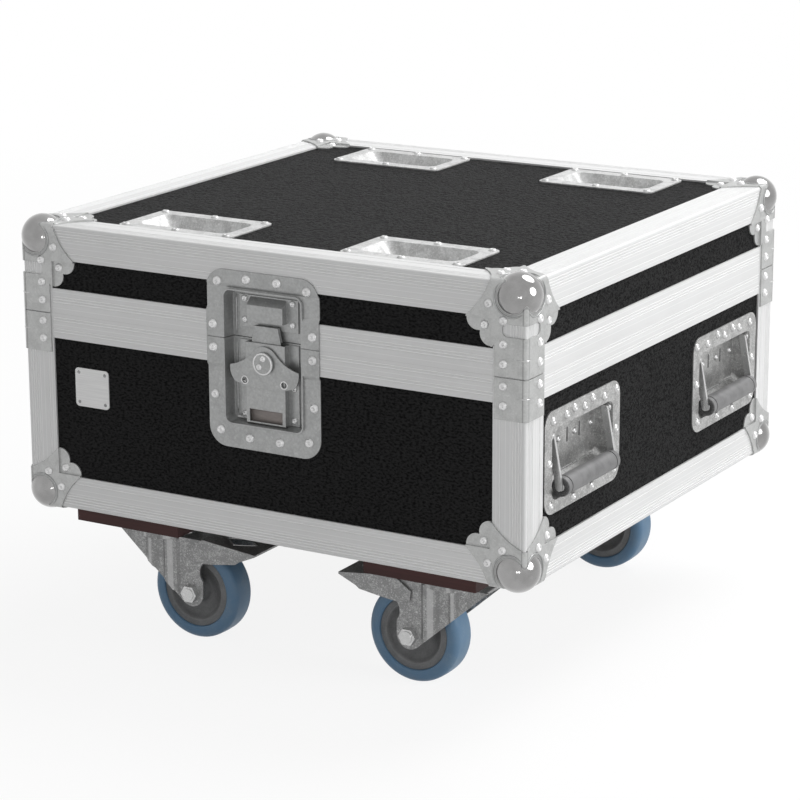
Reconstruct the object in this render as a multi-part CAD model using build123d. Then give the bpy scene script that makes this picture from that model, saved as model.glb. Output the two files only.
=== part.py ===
from build123d import *
import math
import os

os.makedirs("parts", exist_ok=True)

# A wheeled flight case: shallow lid, butterfly latch, spring handles, castor cups,
# ball corners and braked swivel castors. Millimetres, +Z up, floor at z = 0,
# +X to the right seen from the front, and the front faces -Y.

# Case body.
case_width = 560.0
case_depth = 550.0
base_height = 199.0
lid_height = 88.0
panel_thickness = 7.0
panel_fit = 0.2

# Aluminium edging and closure.
leg = 34.0
skin = 2.0
edge_round = 2.5
lip_wall = 1.5
lip_length = 12.0
groove_width = 0.9
groove_depth = 0.5
groove_pitch = 2.8
groove_from_edge = 4.4
groove_from_panel = 7.6
closure_height = 25.0
closure_groove_near = 4.8
closure_groove_far = 16.4
closure_land = 2.0
closure_lip_depth = 16.0
tongue_height = 5.0
tongue_start = 4.6
tongue_root = 2.8
tongue_draft = 0.8
tongue_side_play = 0.7
hinge_swing_play = 0.9
tongue_top_play = 0.8

# Ball corners and braces.
sheet = 1.6
ball_radius = 21.5
ball_inset = 14.5
flange_edge = 37.0
lobe_reach = 61.0
board_side_trim = 10.0
brace_below_split = 39.5
brace_gap = 0.5
brace_edge_gap = 2.0
window_start = 38.5
window_height = 12.0
window_half = 24.0
window_round = 5.0

# Castor boards and castors.
board_width = 121.0
board_depth = 144.0
board_thickness = 12.0
board_end_inset = 4.0
board_corner_gap = 2.0
castor_height = 125.0
swivel_offset = 40.0
wheel_radius = 50.0
tyre_width = 31.0
tyre_depth = 13.0
tyre_shoulder = 6.0
hub_width = 38.0
hub_boss_radius = 12.0
hub_play = 0.5
axle_radius = 5.0
running_gap = 0.06
plate_length = 105.0
plate_width = 85.0
plate_thickness = 3.0
bolt_pitch_x = 80.0
bolt_pitch_y = 60.0
bolt_radius = 4.0
bolt_hole_gap = 0.3
bolt_flats = 13.0
bolt_head = 5.5
race_radius = 29.8
race_gap = 0.7
head_radius = 33.0
kingpin_radius = 6.0
fork_sheet = 2.5
fork_head_reach = 46.0
fork_boss_radius = 14.0
fork_arch_radius = 14.0
fork_arch_rise = 23.0
fork_arch_depth = 3.4
fork_rib_rise = 1.8
web_height = 107.0
pedal_sheet = 2.0
pedal_gap = 0.4
pedal_start = 16.0
pedal_reach = 78.0
pedal_tip_drop = 6.5
pedal_pin_radius = 3.0
pedal_pivot_rise = 42.0
pedal_pivot_ahead = 6.0
tread_hole_length = 34.0
tread_hole_width = 26.0

# Spring handles.
handle_edge_gap = 4.2
handle_below_split = 90.7
handle_flange_width = 153.6
handle_flange_height = 98.5
handle_opening_width = 125.0
handle_opening_height = 68.3
handle_opening_drop = 2.9
handle_depth = 18.0
handle_floor_trim = 4.0
handle_floor_rise = 14.5
grip_radius = 9.5
grip_length = 106.0
grip_proud = 3.6
grip_drop = 24.7
bail_thickness = 3.0
bail_width = 7.0
bail_pivot_rise = 23.7
bail_pivot_inset = 5.5
bail_rod_radius = 4.0
bail_pin_radius = 2.5
bail_pin_past_wall = 1.4

# Stacking cups.
cup_width = 131.4
cup_depth = 81.0
cup_mouth_length = 106.0
cup_mouth_width = 52.0
cup_drop = 17.0

# Latch, with heights above or below the lid line.
latch_width = 125.5
latch_height = 174.0
latch_above = 66.6
latch_round = 20.0
dish_width = 86.6
dish_below = 83.1
dish_above = 47.3
dish_depth = 12.0
dish_draft = 2.5
dish_wall = 1.2
flange_sheet = 1.5
flange_ramp = 3.5
latch_split_gap = 0.6
cutout_margin = 2.2
hub_below = 20.5
wing_depth = 1.0
wing_sheet = 1.6
wing_reach = 38.5
wing_drop = 25.0
wing_hub_radius = 16.0
wing_hole_spread = 22.0
wing_hole_drop = 18.5
wing_hole_radius = 3.0
stud_radius = 4.0
stud_head_radius = 11.0
stud_head_height = 2.6
cover_behind_wing = 0.5
cover_half = 33.0
cover_hat_half = 22.0
cover_top_gap = 2.0
window_half_width = 18.5
cover_window_height = 12.0
hook_sheet = 1.5
hook_behind_cover = 0.6
hook_above = 14.0
hook_foot_half = 18.0
hook_neck_half = 16.0
hook_nose_half = 13.0
hook_foot_drop = 28.0
hook_turned_in = 2.4
hook_travel = 8.0
keeper_clear = 0.4
keeper_hat_half = 20.0
keeper_above = 42.0
keeper_slope = 8.0
keeper_hat_above = 18.0

# Rear hinges and name plate.
hinge_inset = 110.0
hinge_width = 70.0
hinge_leaf = 24.0
knuckle_radius = 4.6
knuckle_gap = 0.4
knuckle_end_gap = 0.4
hinge_pin_radius = 2.4
knuckle_count = 5
plate_blank_width = 40.0
plate_blank_height = 39.0
plate_blank_sheet = 1.0
plate_blank_inset = 78.0
plate_blank_below = 71.6

half_x = case_width / 2
half_y = case_depth / 2
case_floor = castor_height + board_thickness
split = case_floor + base_height
case_top = split + lid_height
inner = skin + panel_thickness
axle_height = wheel_radius
hinge_axis_y = half_y + knuckle_radius + knuckle_gap
panel_side = inner + lip_wall + panel_fit
castor_x = half_x - lobe_reach + board_side_trim - board_corner_gap - board_width / 2
castor_y = half_y - board_end_inset - board_depth / 2
cup_x = castor_x - swivel_offset
handle_y = half_y - leg - handle_edge_gap - handle_flange_width / 2
handle_mid = split - handle_below_split
bail_pivot_z = handle_mid + bail_pivot_rise
grip_z = handle_mid - grip_drop
hub_z = split - hub_below


def block(low, high):
    size = [high[i] - low[i] for i in range(3)]
    centre = [(high[i] + low[i]) / 2 for i in range(3)]
    return Pos(*centre) * Box(*size)


def prism(points, plane, length, both=False):
    """A closed outline of points drawn on a plane and pushed along its normal."""
    face = make_face(plane * Polyline(*points, close=True))
    return extrude(face, length, dir=plane.z_dir, both=both)


def rounded_plate(plane, width, height, radius, thickness):
    return extrude(plane * RectangleRounded(width, height, radius), thickness)


def four(solid):
    """The piece, and its mirror images in the left and the front-back planes."""
    both_sides = [solid, mirror(solid, about=Plane.YZ)]
    return both_sides + [mirror(s, about=Plane.XZ) for s in both_sides]


def two(solid):
    return [solid, mirror(solid, about=Plane.YZ)]


def save(name, pieces):
    solids = []
    for piece in pieces:
        solids += list(piece.solids())
    shape = solids[0] if len(solids) == 1 else Compound(children=solids)
    shape.label = name
    export_step(shape, "parts/" + name + ".step")
    print(name, len(solids))


# Edging.
def angle_section():
    """The angle extrusion's section: its corner at (0, 0), its legs along +x and +y."""
    outline = Polygon(
        (0, 0), (leg, 0), (leg, skin), (skin, skin), (skin, leg), (0, leg), align=None
    )
    corner = outline.vertices().sort_by_distance((0, 0))[0]
    outline = fillet(corner, edge_round)

    def bar(x0, y0, x1, y1):
        return Pos((x0 + x1) / 2, (y0 + y1) / 2) * Rectangle(x1 - x0, y1 - y0)

    far = inner + lip_length
    thick = inner + lip_wall
    outline += bar(inner, skin / 2, thick, thick)
    outline += bar(skin / 2, inner, thick, thick)
    outline += bar(inner, inner, far, thick)
    outline += bar(inner, inner, thick, far)
    near_edge = [groove_from_edge + index * groove_pitch for index in range(4)]
    for along in near_edge + [leg - groove_from_panel]:
        outline -= bar(along, -1, along + groove_width, groove_depth)
        outline -= bar(-1, along, groove_depth, along + groove_width)
    return outline


def edge_ring():
    """Four angle extrusions round the underside, mitred at 45 degrees, corner at z = 0."""
    section = angle_section()
    reach = leg + 1
    front = extrude(
        Plane((-half_x, -half_y, 0), x_dir=(0, 1, 0), z_dir=(1, 0, 0)) * section,
        case_width,
    )
    trim = [
        (-half_x, -half_y),
        (half_x, -half_y),
        (half_x - reach, -half_y + reach),
        (-half_x + reach, -half_y + reach),
    ]
    front &= prism(trim, Plane.XY, reach)
    side = extrude(
        Plane((-half_x, half_y, 0), x_dir=(1, 0, 0), z_dir=(0, -1, 0)) * section,
        case_depth,
    )
    trim = [
        (-half_x, -half_y),
        (-half_x, half_y),
        (-half_x + reach, half_y - reach),
        (-half_x + reach, -half_y + reach),
    ]
    side &= prism(trim, Plane.XY, reach)
    front -= corner_waste()
    side -= corner_waste()
    return [front, mirror(front, about=Plane.XZ), side, mirror(side, about=Plane.YZ)]


def corner_waste():
    """What every corner loses: a cube inside its ball, and the sharp upright edge above."""
    x, y = -half_x, -half_y
    cube = block((x - 1, y - 1, -1), (x + ball_inset, y + ball_inset, ball_inset))
    sharp = block((x - 1, y - 1, 0), (x + edge_round, y + edge_round, leg + 1))
    sharp -= Pos(x + edge_round, y + edge_round, leg) * Cylinder(edge_round, 3 * leg)
    return four(cube + sharp)


def flipped(solids, height):
    """The same pieces upside down, with their z = 0 face at the given height."""
    return [Pos(0, 0, height) * mirror(s, about=Plane.XY) for s in solids]


def corner_post(length):
    post = extrude(Pos(-half_x, -half_y, 0) * angle_section(), length)
    return four(post)


# Closure.
def closure_sections():
    """Base and lid sections as (inward, up) outlines, both with the split at 0."""
    outer = inner + lip_wall
    tongue_end = tongue_start + tongue_root
    base = [
        (0, -closure_height),
        (skin, -closure_height),
        (skin, -closure_land),
        (inner, -closure_land),
        (inner, -closure_lip_depth),
        (outer, -closure_lip_depth),
        (outer, 0),
        (tongue_end, 0),
        (tongue_end - tongue_draft, tongue_height),
        (tongue_start + tongue_draft / 2, tongue_height),
        (tongue_start, 0),
        (0, 0),
    ]
    slot_low = tongue_start - tongue_side_play
    slot_high = tongue_end + hinge_swing_play
    roof = tongue_height + tongue_top_play
    lid = [
        (0, 0),
        (slot_low, 0),
        (slot_low, roof),
        (slot_high, roof),
        (slot_high, 0),
        (outer, 0),
        (outer, closure_lip_depth),
        (inner, closure_lip_depth),
        (inner, roof + lip_wall),
        (skin, roof + lip_wall),
        (skin, closure_height),
        (0, closure_height),
    ]
    return base, lid


def closure_ring(section, grooves):
    """Four lengths of a closure section at the lid line, with fine lines in their face."""
    run_x = case_width - 2 * leg
    run_y = case_depth - 2 * leg
    front = prism(
        section,
        Plane((-run_x / 2, -half_y, split), x_dir=(0, 1, 0), z_dir=(1, 0, 0)),
        run_x,
    )
    side = prism(
        section,
        Plane((-half_x, run_y / 2, split), x_dir=(1, 0, 0), z_dir=(0, -1, 0)),
        run_y,
    )
    for rise in grooves:
        low = split + rise
        high = low + groove_width
        front -= block((-half_x, -half_y - 1, low), (half_x, -half_y + groove_depth, high))
        side -= block((-half_x - 1, -half_y, low), (-half_x + groove_depth, half_y, high))
    return [front, mirror(front, about=Plane.XZ), side, mirror(side, about=Plane.YZ)]


# Openings in the panels.
def latch_cutout():
    half = dish_width / 2 + cutout_margin
    return block(
        (-half, -half_y - 1, split - dish_below - cutout_margin),
        (half, -half_y + inner + lip_wall + 1, split + dish_above + cutout_margin),
    )


def handle_cutouts():
    width = handle_opening_width + 2 * cutout_margin
    height = handle_opening_height + 2 * cutout_margin
    mid = handle_mid - handle_opening_drop
    plane = Plane((-half_x, -handle_y, mid), x_dir=(0, 1, 0), z_dir=(1, 0, 0))
    return four(rounded_plate(plane, width, height, 6, inner + 1))


def cup_cutouts():
    length = cup_mouth_length + 2 * cutout_margin
    width = cup_mouth_width + 2 * cutout_margin
    plane = Plane((-cup_x, -castor_y, case_top - inner - 1))
    return four(rounded_plate(plane, length, width, 14, inner + 1))


def wall(axis, low, high):
    """A front (axis y) or left (axis x) panel between two heights."""
    if axis == "y":
        reach = half_x - panel_side
        return block((-reach, -half_y + skin, low), (reach, -half_y + inner, high))
    reach = half_y - panel_side
    return block((-half_x + skin, -reach, low), (-half_x + inner, reach, high))


def flat_panel(low):
    x, y = half_x - panel_side, half_y - panel_side
    return block((-x, -y, low), (x, y, low + panel_thickness))


# Ball corners.
def flange_outline():
    """One face of the corner plate, corner at (0, 0): two scalloped lobes, swept waists."""
    tip = lobe_reach
    waist = flange_edge + 6.5
    edges = [
        Line((-3, -3), (flange_edge, -3)),
        Line((flange_edge, -3), (flange_edge, 0)),
        ThreePointArc((flange_edge, 0), (waist, 14), (tip, leg)),
        ThreePointArc((tip, leg), (tip - 2.5, leg + 10), (tip - 13, tip - 13.5)),
        Line((tip - 13, tip - 13.5), (tip - 13.5, tip - 13)),
        ThreePointArc((tip - 13.5, tip - 13), (leg + 10, tip - 2.5), (leg, tip)),
        ThreePointArc((leg, tip), (14, waist), (0, flange_edge)),
        Line((0, flange_edge), (-3, flange_edge)),
        Line((-3, flange_edge), (-3, -3)),
    ]
    return make_face(edges)


def corner_planes():
    """Planes of the three faces at a corner at the origin, x and y running inwards."""
    return [
        Plane((0, 0, 0), x_dir=(1, 0, 0), z_dir=(0, 0, 1)),
        Plane((0, 0, 0), x_dir=(0, 0, 1), z_dir=(0, 1, 0)),
        Plane((0, 0, 0), x_dir=(0, 1, 0), z_dir=(1, 0, 0)),
    ]


def rounded_corner_block(size, radius, grow):
    """A block with its corner at (-grow, -grow, -grow), that corner's edges rounded."""
    solid = block((-grow, -grow, -grow), (size, size, size))
    near = []
    for edge in solid.edges():
        middle = edge.center()
        close = [abs(v + grow) < 0.01 for v in (middle.X, middle.Y, middle.Z)]
        if sum(close) == 2:
            near.append(edge)
    return fillet(near, radius)


def corner_shell(size):
    hollow = rounded_corner_block(size + 10, edge_round, 0)
    return rounded_corner_block(size, edge_round + sheet, sheet) - hollow


def ball_corner(castor_side, brace_length):
    """A corner at the origin. castor_side trims its underside plate beside the board."""
    size = lobe_reach + 4
    shell = corner_shell(size)
    outline = flange_outline()
    reach = size - leg
    for index, plane in enumerate(corner_planes()):
        # everything outside the outline goes, but only through the plate's own thickness
        sheet_area = plane * (Pos(size / 2 - 5, size / 2 - 5) * Rectangle(size + 30, size + 30))
        waste = extrude(sheet_area, edge_round) + extrude(sheet_area, -5)
        keep = extrude(plane * outline, edge_round + 1) + extrude(plane * outline, -6)
        if brace_length and index > 0:
            # the brace runs on along the upright edge, which is z in both upright faces
            if index == 1:
                strip = block((-3, -6, 0), (leg - brace_edge_gap, edge_round + 1, brace_length))
            else:
                strip = block((-6, -3, 0), (edge_round + 1, leg - brace_edge_gap, brace_length))
            keep += strip
        shell -= waste - keep
    if brace_length:
        tall = brace_strip(size - 12, brace_length)
        shell += tall
        shell -= brace_window(window_start)
    # the crank: over the panel the plate steps down by the edging's thickness
    for index, plane in enumerate(corner_planes()):
        square = plane * (Pos(leg + reach / 2, leg + reach / 2) * Rectangle(reach, reach))
        shell -= extrude(square, -3)
        outline_there = (plane * outline) & square
        lowered = extrude(outline_there, skin) - extrude(square, skin - sheet)
        rim = plane * (
            Pos(leg + reach / 2, leg + reach / 2) * Rectangle(reach, reach)
            - Pos(leg + sheet + reach / 2, leg + sheet + reach / 2) * Rectangle(reach, reach)
        )
        rim = (plane * outline) & rim
        step = extrude(rim, skin) + extrude(rim, -sheet)
        shell += lowered + step
    if castor_side:
        trim = lobe_reach - board_side_trim
        shell -= block((trim, -5, -5), (size, size, skin + 0.01))
        shell -= block((-5, trim, -5), (size, size, skin + 0.01))
    # the plates stop at the ball, which stands in for the case's own corner
    shell -= block((-9, -9, -9), (ball_inset, ball_inset, ball_inset))
    centre = Pos(ball_inset, ball_inset, ball_inset)
    ball = centre * (Sphere(ball_radius) - Sphere(ball_radius - sheet))
    body = rounded_corner_block(size, edge_round, 0)
    body -= block((-1, -1, -1), (ball_inset, ball_inset, ball_inset))
    ball -= body
    shell -= centre * Sphere(ball_radius - sheet)
    return shell + ball


def brace_strip(low, high):
    """The L-shaped brace on an upright edge, from one height to another."""
    face = Polygon(
        (-sheet, -sheet),
        (leg - brace_edge_gap, -sheet),
        (leg - brace_edge_gap, 0),
        (0, 0),
        (0, leg - brace_edge_gap),
        (-sheet, leg - brace_edge_gap),
        align=None,
    )
    face = fillet(face.vertices().sort_by_distance((-sheet, -sheet))[0], edge_round + sheet)
    face = fillet(face.vertices().sort_by_distance((0, 0))[0], edge_round)
    return Pos(0, 0, low) * extrude(face, high - low)


def brace_window(low):
    """A slot round the upright edge that shows the extrusion, with rounded ends."""
    slot = None
    for plane in (
        Plane((0, 0, low + window_height / 2), x_dir=(1, 0, 0), z_dir=(0, -1, 0)),
        Plane((0, 0, low + window_height / 2), x_dir=(0, 1, 0), z_dir=(1, 0, 0)),
    ):
        shape = RectangleRounded(2 * window_half, window_height, window_round)
        cut = extrude(plane * shape, 4, both=True)
        slot = cut if slot is None else slot + cut
    return slot


# Castors.
def hexagon(radius_flats, height):
    return extrude(RegularPolygon(radius_flats, 6, major_radius=False), height)


def castor_plate():
    """Top plate with its upper race and kingpin, the swivel axis on z."""
    top = castor_height
    under = top - plate_thickness
    plate = rounded_plate(Plane((0, 0, under)), plate_length, plate_width, 7, plate_thickness)
    for x in (-bolt_pitch_x / 2, bolt_pitch_x / 2):
        for y in (-bolt_pitch_y / 2, bolt_pitch_y / 2):
            plate -= Pos(x, y, under + plate_thickness / 2) * Cylinder(
                bolt_radius + bolt_hole_gap, 2 * plate_thickness
            )
    race_low = web_height + 3
    profile = [
        (0, under + 1),
        (race_radius, under + 1),
        (race_radius, race_low + 3),
        (race_radius - 3, race_low),
        (kingpin_radius, race_low),
        (kingpin_radius, web_height - fork_sheet - 1),
        (kingpin_radius + 3, web_height - fork_sheet - 1),
        (kingpin_radius + 3, web_height - fork_sheet - 3.2),
        (0, web_height - fork_sheet - 3.2),
    ]
    return plate + revolve(make_face(Plane.XZ * Polyline(*profile, close=True)), Axis.Z)


def fork_leg():
    """The pressed leg seen along the axle: x from the swivel axis, z up."""
    head = (-fork_head_reach, web_height)
    reach = (swivel_offset + fork_boss_radius, web_height)
    along = math.atan2(axle_height - head[1], swivel_offset - head[0])
    apart = math.hypot(swivel_offset - head[0], axle_height - head[1])
    lean = along - math.asin(fork_boss_radius / apart)
    # where the sloping edge meets the round of the boss
    tangent = (
        swivel_offset + fork_boss_radius * math.sin(lean),
        axle_height - fork_boss_radius * math.cos(lean),
    )
    side = (swivel_offset + fork_boss_radius, axle_height)
    low = math.radians(-60)
    below = (
        swivel_offset + fork_boss_radius * math.cos(low),
        axle_height + fork_boss_radius * math.sin(low),
    )
    edges = [
        Line(head, tangent),
        ThreePointArc(tangent, below, side),
        Line(side, reach),
        Line(reach, head),
    ]
    arch = Pos(
        swivel_offset + fork_boss_radius + fork_arch_radius - fork_arch_depth,
        axle_height + fork_arch_rise,
    )
    return make_face(edges) - arch * Circle(fork_arch_radius)


def castor_fork():
    half = hub_width / 2 + hub_play
    outer = half + fork_sheet
    side = Plane((0, -half, 0), x_dir=(1, 0, 0), z_dir=(0, -1, 0))
    outline = side * fork_leg()
    leg_plate = extrude(outline, fork_sheet)
    # two pressed ribs run down each leg to its sloping edge
    proud = outer + fork_rib_rise
    for at, wide in ((0.42 * swivel_offset, 10.0), (-0.21 * swivel_offset, 5.5)):
        section = [
            (at - wide, -outer + 0.2),
            (at - wide + 3, -proud),
            (at + wide - 3, -proud),
            (at + wide, -outer + 0.2),
        ]
        rib = prism(section, Plane((0, 0, axle_height)), web_height - fork_sheet - axle_height)
        leg_plate += rib & extrude(outline, fork_sheet + fork_rib_rise + 1)
    fork = leg_plate + mirror(leg_plate, about=Plane.XZ)
    web_low = web_height - fork_sheet
    web = block(
        (-fork_head_reach + fork_sheet, -outer, web_low),
        (swivel_offset + fork_boss_radius - fork_sheet, outer, web_height),
    )
    web += Pos(0, 0, web_low) * extrude(Circle(head_radius), fork_sheet)
    rim = Pos(0, 0, web_height) * extrude(
        Circle(head_radius) - Circle(race_radius + race_gap), castor_height - web_height - 6
    )
    fork += web + rim
    fork -= Pos(0, 0, web_height) * Cylinder(kingpin_radius + running_gap, 4 * fork_sheet)
    axle = Pos(swivel_offset, 0, axle_height) * Rot(90, 0, 0)
    fork -= axle * Cylinder(axle_radius + running_gap, 3 * outer)
    pin = Pos(swivel_offset + pedal_pivot_ahead, 0, axle_height + pedal_pivot_rise)
    fork -= pin * Rot(90, 0, 0) * Cylinder(pedal_pin_radius + running_gap, 3 * outer)
    return fork


def castor_axle():
    half = hub_width / 2 + hub_play + fork_sheet
    shank = Cylinder(axle_radius, 2 * half + 8)
    head = Pos(0, 0, half) * hexagon(8, 6)
    head += Pos(0, 0, half + 6) * Cylinder(6.2, 1.0, align=(Align.CENTER, Align.CENTER, Align.MIN))
    nut = Pos(0, 0, -half - 6.5) * hexagon(8, 6.5)
    return Pos(swivel_offset, 0, axle_height) * Rot(90, 0, 0) * (shank + head + nut)


def spin_about_axle(profile):
    """Turns an outline of (radius, along the axle) points about the wheel's axle."""
    plane = Plane((swivel_offset, 0, axle_height), x_dir=(1, 0, 0), z_dir=(0, 0, 1))
    face = make_face(plane * Polyline(*profile, close=True))
    return revolve(face, Axis((swivel_offset, 0, axle_height), (0, 1, 0)))


def wheel_hub():
    bore = axle_radius + running_gap
    rim = wheel_radius - tyre_depth
    face = tyre_width / 2 - 1.5
    side = hub_width / 2
    half = [
        (bore, side),
        (hub_boss_radius, side),
        (hub_boss_radius + 1.5, face - 8),
        (rim - 9, face - 6),
        (rim - 6, face),
        (rim, face),
    ]
    return spin_about_axle(half + [(r, -y) for r, y in reversed(half)])


def wheel_tyre():
    rim = wheel_radius - tyre_depth
    side = tyre_width / 2
    cut = tyre_shoulder
    half = [
        (rim, side - 1.0),
        (rim + 4, side),
        (wheel_radius - cut, side),
        (wheel_radius - 0.3 * cut, side - 0.3 * cut),
        (wheel_radius, side - cut),
    ]
    return spin_about_axle(half + [(r, -y) for r, y in reversed(half)])


def brake_pedal():
    """A folded channel over the wheel's trailing side, pivoting on two pins in the fork."""
    inside = hub_width / 2 + hub_play + fork_sheet + pedal_gap
    outside = inside + pedal_sheet
    x = swivel_offset
    top = web_height + pedal_sheet
    start = x + pedal_start
    end = x + pedal_reach
    tip = top - pedal_tip_drop
    pivot = (x + pedal_pivot_ahead, axle_height + pedal_pivot_rise)
    outline = [
        (pivot[0] - 1.5 * pedal_pivot_ahead, pivot[1] + 4),
        (pivot[0] - 1.3 * pedal_pivot_ahead, pivot[1] - 2 * pedal_pin_radius),
        (pivot[0] + pedal_pin_radius, pivot[1] - 3 * pedal_pin_radius),
        (x + 0.37 * pedal_reach, pivot[1] - 2.3 * pedal_pin_radius),
        (end - 0.3 * pedal_reach, pivot[1] - pedal_pin_radius),
        (end - 0.25 * pedal_reach, pivot[1]),
        (end, tip - pedal_sheet),
        (end, tip),
        (start, top),
        (start - 2 * pedal_sheet, web_height - 1),
    ]
    plane = Plane((0, -inside, 0), x_dir=(1, 0, 0), z_dir=(0, -1, 0))
    cheek = prism(outline, plane, pedal_sheet)
    pin = Pos(pivot[0], -inside, pivot[1]) * Rot(90, 0, 0)
    length = fork_sheet + pedal_gap + pedal_sheet
    cheek += (
        pin
        * Pos(0, 0, pedal_sheet - length)
        * Cylinder(pedal_pin_radius, length, align=(Align.CENTER, Align.CENTER, Align.MIN))
    )
    pedal = cheek + mirror(cheek, about=Plane.XZ)
    tread = [(start, top - pedal_sheet), (end, tip - pedal_sheet), (end, tip), (start, top)]
    across = Plane((0, outside, 0), x_dir=(1, 0, 0), z_dir=(0, -1, 0))
    pedal += prism(tread, across, 2 * outside)
    # a pressed diamond opening in the tread
    middle = (start + end) / 2
    long, wide = tread_hole_length / 2, tread_hole_width / 2
    diamond = [(middle - long, 0), (middle, -wide), (middle + long, 0), (middle, wide)]
    low = tip - 2 * pedal_sheet
    return pedal - prism(diamond, Plane((0, 0, low)), top + 1 - low)


def castor_bolts():
    """Coach bolts through a castor plate, its board and the floor, with flanged nuts."""
    bolts = []
    low = castor_height - plate_thickness - bolt_head
    high = case_floor + inner
    for x in (-bolt_pitch_x / 2, bolt_pitch_x / 2):
        for y in (-bolt_pitch_y / 2, bolt_pitch_y / 2):
            bolt = Pos(x, y, low) * hexagon(bolt_flats / 2, bolt_head)
            bolt += Pos(x, y, low) * Cylinder(
                bolt_radius, high - low + 1, align=(Align.CENTER, Align.CENTER, Align.MIN)
            )
            bolt += Pos(x, y, high) * extrude(RegularPolygon(9, 8), 1.5)
            bolts.append(bolt)
    return bolts


def at_castor(solid):
    return Pos(-castor_x, -castor_y, 0) * solid


def castor_board():
    board = block(
        (-board_width / 2, -board_depth / 2, castor_height),
        (board_width / 2, board_depth / 2, case_floor),
    )
    return board - bolt_holes(castor_height - 1, case_floor + 1)


def bolt_holes(low, high):
    holes = []
    for x in (-bolt_pitch_x / 2, bolt_pitch_x / 2):
        for y in (-bolt_pitch_y / 2, bolt_pitch_y / 2):
            holes.append(
                Pos(x, y, low)
                * Cylinder(
                    bolt_radius + bolt_hole_gap,
                    high - low,
                    align=(Align.CENTER, Align.CENTER, Align.MIN),
                )
            )
    return holes


# Spring handles.
def handle_dish():
    """Pressed dish on the left side panel at y = 0; x runs out of the case to -X."""
    mouth_mid = handle_mid - handle_opening_drop
    face_x = -half_x + skin - flange_sheet
    out = Plane((-half_x + skin, 0, handle_mid), x_dir=(0, 1, 0), z_dir=(-1, 0, 0))
    # that plane's y axis points down, which the symmetric outline doesn't mind
    plate = rounded_plate(out, handle_flange_width, handle_flange_height, 15, flange_sheet)

    def well(wall_out, start, depth):
        mouth = Plane((start, 0, mouth_mid), x_dir=(0, 1, 0), z_dir=(1, 0, 0))
        high = mouth_mid + handle_opening_height / 2 - 2
        low = mouth_mid - handle_opening_height / 2 + handle_floor_rise
        bed_mid = (high + low) / 2
        bed = Plane((start + depth, 0, bed_mid), x_dir=(0, 1, 0), z_dir=(1, 0, 0))
        grow = 2 * wall_out
        width = handle_opening_width + grow
        first = mouth * RectangleRounded(width, handle_opening_height + grow, 9 + wall_out)
        second = bed * RectangleRounded(
            width - 2 * handle_floor_trim, high - low + grow, 7 + wall_out
        )
        return loft([first, second])

    body = well(dish_wall, -half_x + skin, handle_depth)
    cavity = well(0, face_x - 0.01, handle_depth + skin - flange_sheet - dish_wall + 0.6)
    dish = plate + body - cavity
    # the bail's pins turn in the dish's two side walls
    bore = Pos(-half_x + bail_pivot_inset, 0, bail_pivot_z)
    bore *= Rot(90, 0, 0)
    return dish - bore * Cylinder(bail_pin_radius + running_gap, 2 * handle_flange_width)


def handle_bail():
    """Two arms, the rod through the grip and the two pivot pins, at y = 0 on the left."""
    pivot_x = -half_x + bail_pivot_inset
    grip_x = -half_x - grip_proud
    first = grip_length / 2 + 0.3
    turn = math.degrees(math.atan2(grip_x - pivot_x, grip_z - bail_pivot_z))
    length = math.hypot(grip_x - pivot_x, grip_z - bail_pivot_z)
    middle = ((pivot_x + grip_x) / 2, (bail_pivot_z + grip_z) / 2)
    slot = Plane((middle[0], -first, middle[1]), x_dir=(1, 0, 0), z_dir=(0, -1, 0))
    shape = SlotCenterToCenter(length, bail_width)
    angle = 90 - turn
    arm = extrude(slot * Rot(0, 0, angle) * shape, bail_thickness)
    pins = (
        Pos(pivot_x, -first - bail_thickness, bail_pivot_z)
        * Rot(90, 0, 0)
        * Cylinder(
            bail_pin_radius,
            handle_opening_width / 2 + bail_pin_past_wall - first - bail_thickness,
            align=(Align.CENTER, Align.CENTER, Align.MIN),
        )
    )
    half = arm + pins
    rod = Pos(grip_x, 0, grip_z) * Rot(90, 0, 0) * Cylinder(bail_rod_radius, 2 * first)
    return half + mirror(half, about=Plane.XZ) + rod


def handle_grip():
    grip_x = -half_x - grip_proud
    half = grip_length / 2
    sleeve = Cylinder(grip_radius, grip_length)
    sleeve = chamfer(sleeve.edges().filter_by(GeomType.CIRCLE), 0.8)
    sleeve -= Cylinder(bail_rod_radius + 0.1, grip_length + 2)
    for at in (-half + 7, half - 7):
        ring = Cylinder(grip_radius + 1, 1.4) - Cylinder(grip_radius - 0.7, 1.4)
        sleeve -= Pos(0, 0, at) * ring
    return Pos(grip_x, 0, grip_z) * Rot(90, 0, 0) * sleeve


# Stacking cups.
def castor_cup():
    """A pressed cup in the lid, at the place of the wheel of the case above."""
    seat = case_top - skin
    plate = rounded_plate(Plane((0, 0, seat)), cup_width, cup_depth, 8, flange_sheet)

    def well(wall_out, high, low):
        length = cup_mouth_length + 2 * wall_out
        width = cup_mouth_width + 2 * wall_out
        first = Plane((0, 0, high)) * RectangleRounded(length, width, 11 + wall_out)
        second = Plane((0, 0, low)) * RectangleRounded(length - 30, width - 10, 9 + wall_out)
        return loft([first, second])

    body = well(dish_wall, seat, seat - cup_drop)
    cavity = well(0, seat + flange_sheet + 0.01, seat - cup_drop + dish_wall)
    return Pos(-cup_x, -castor_y, 0) * (plate + body - cavity)


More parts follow.
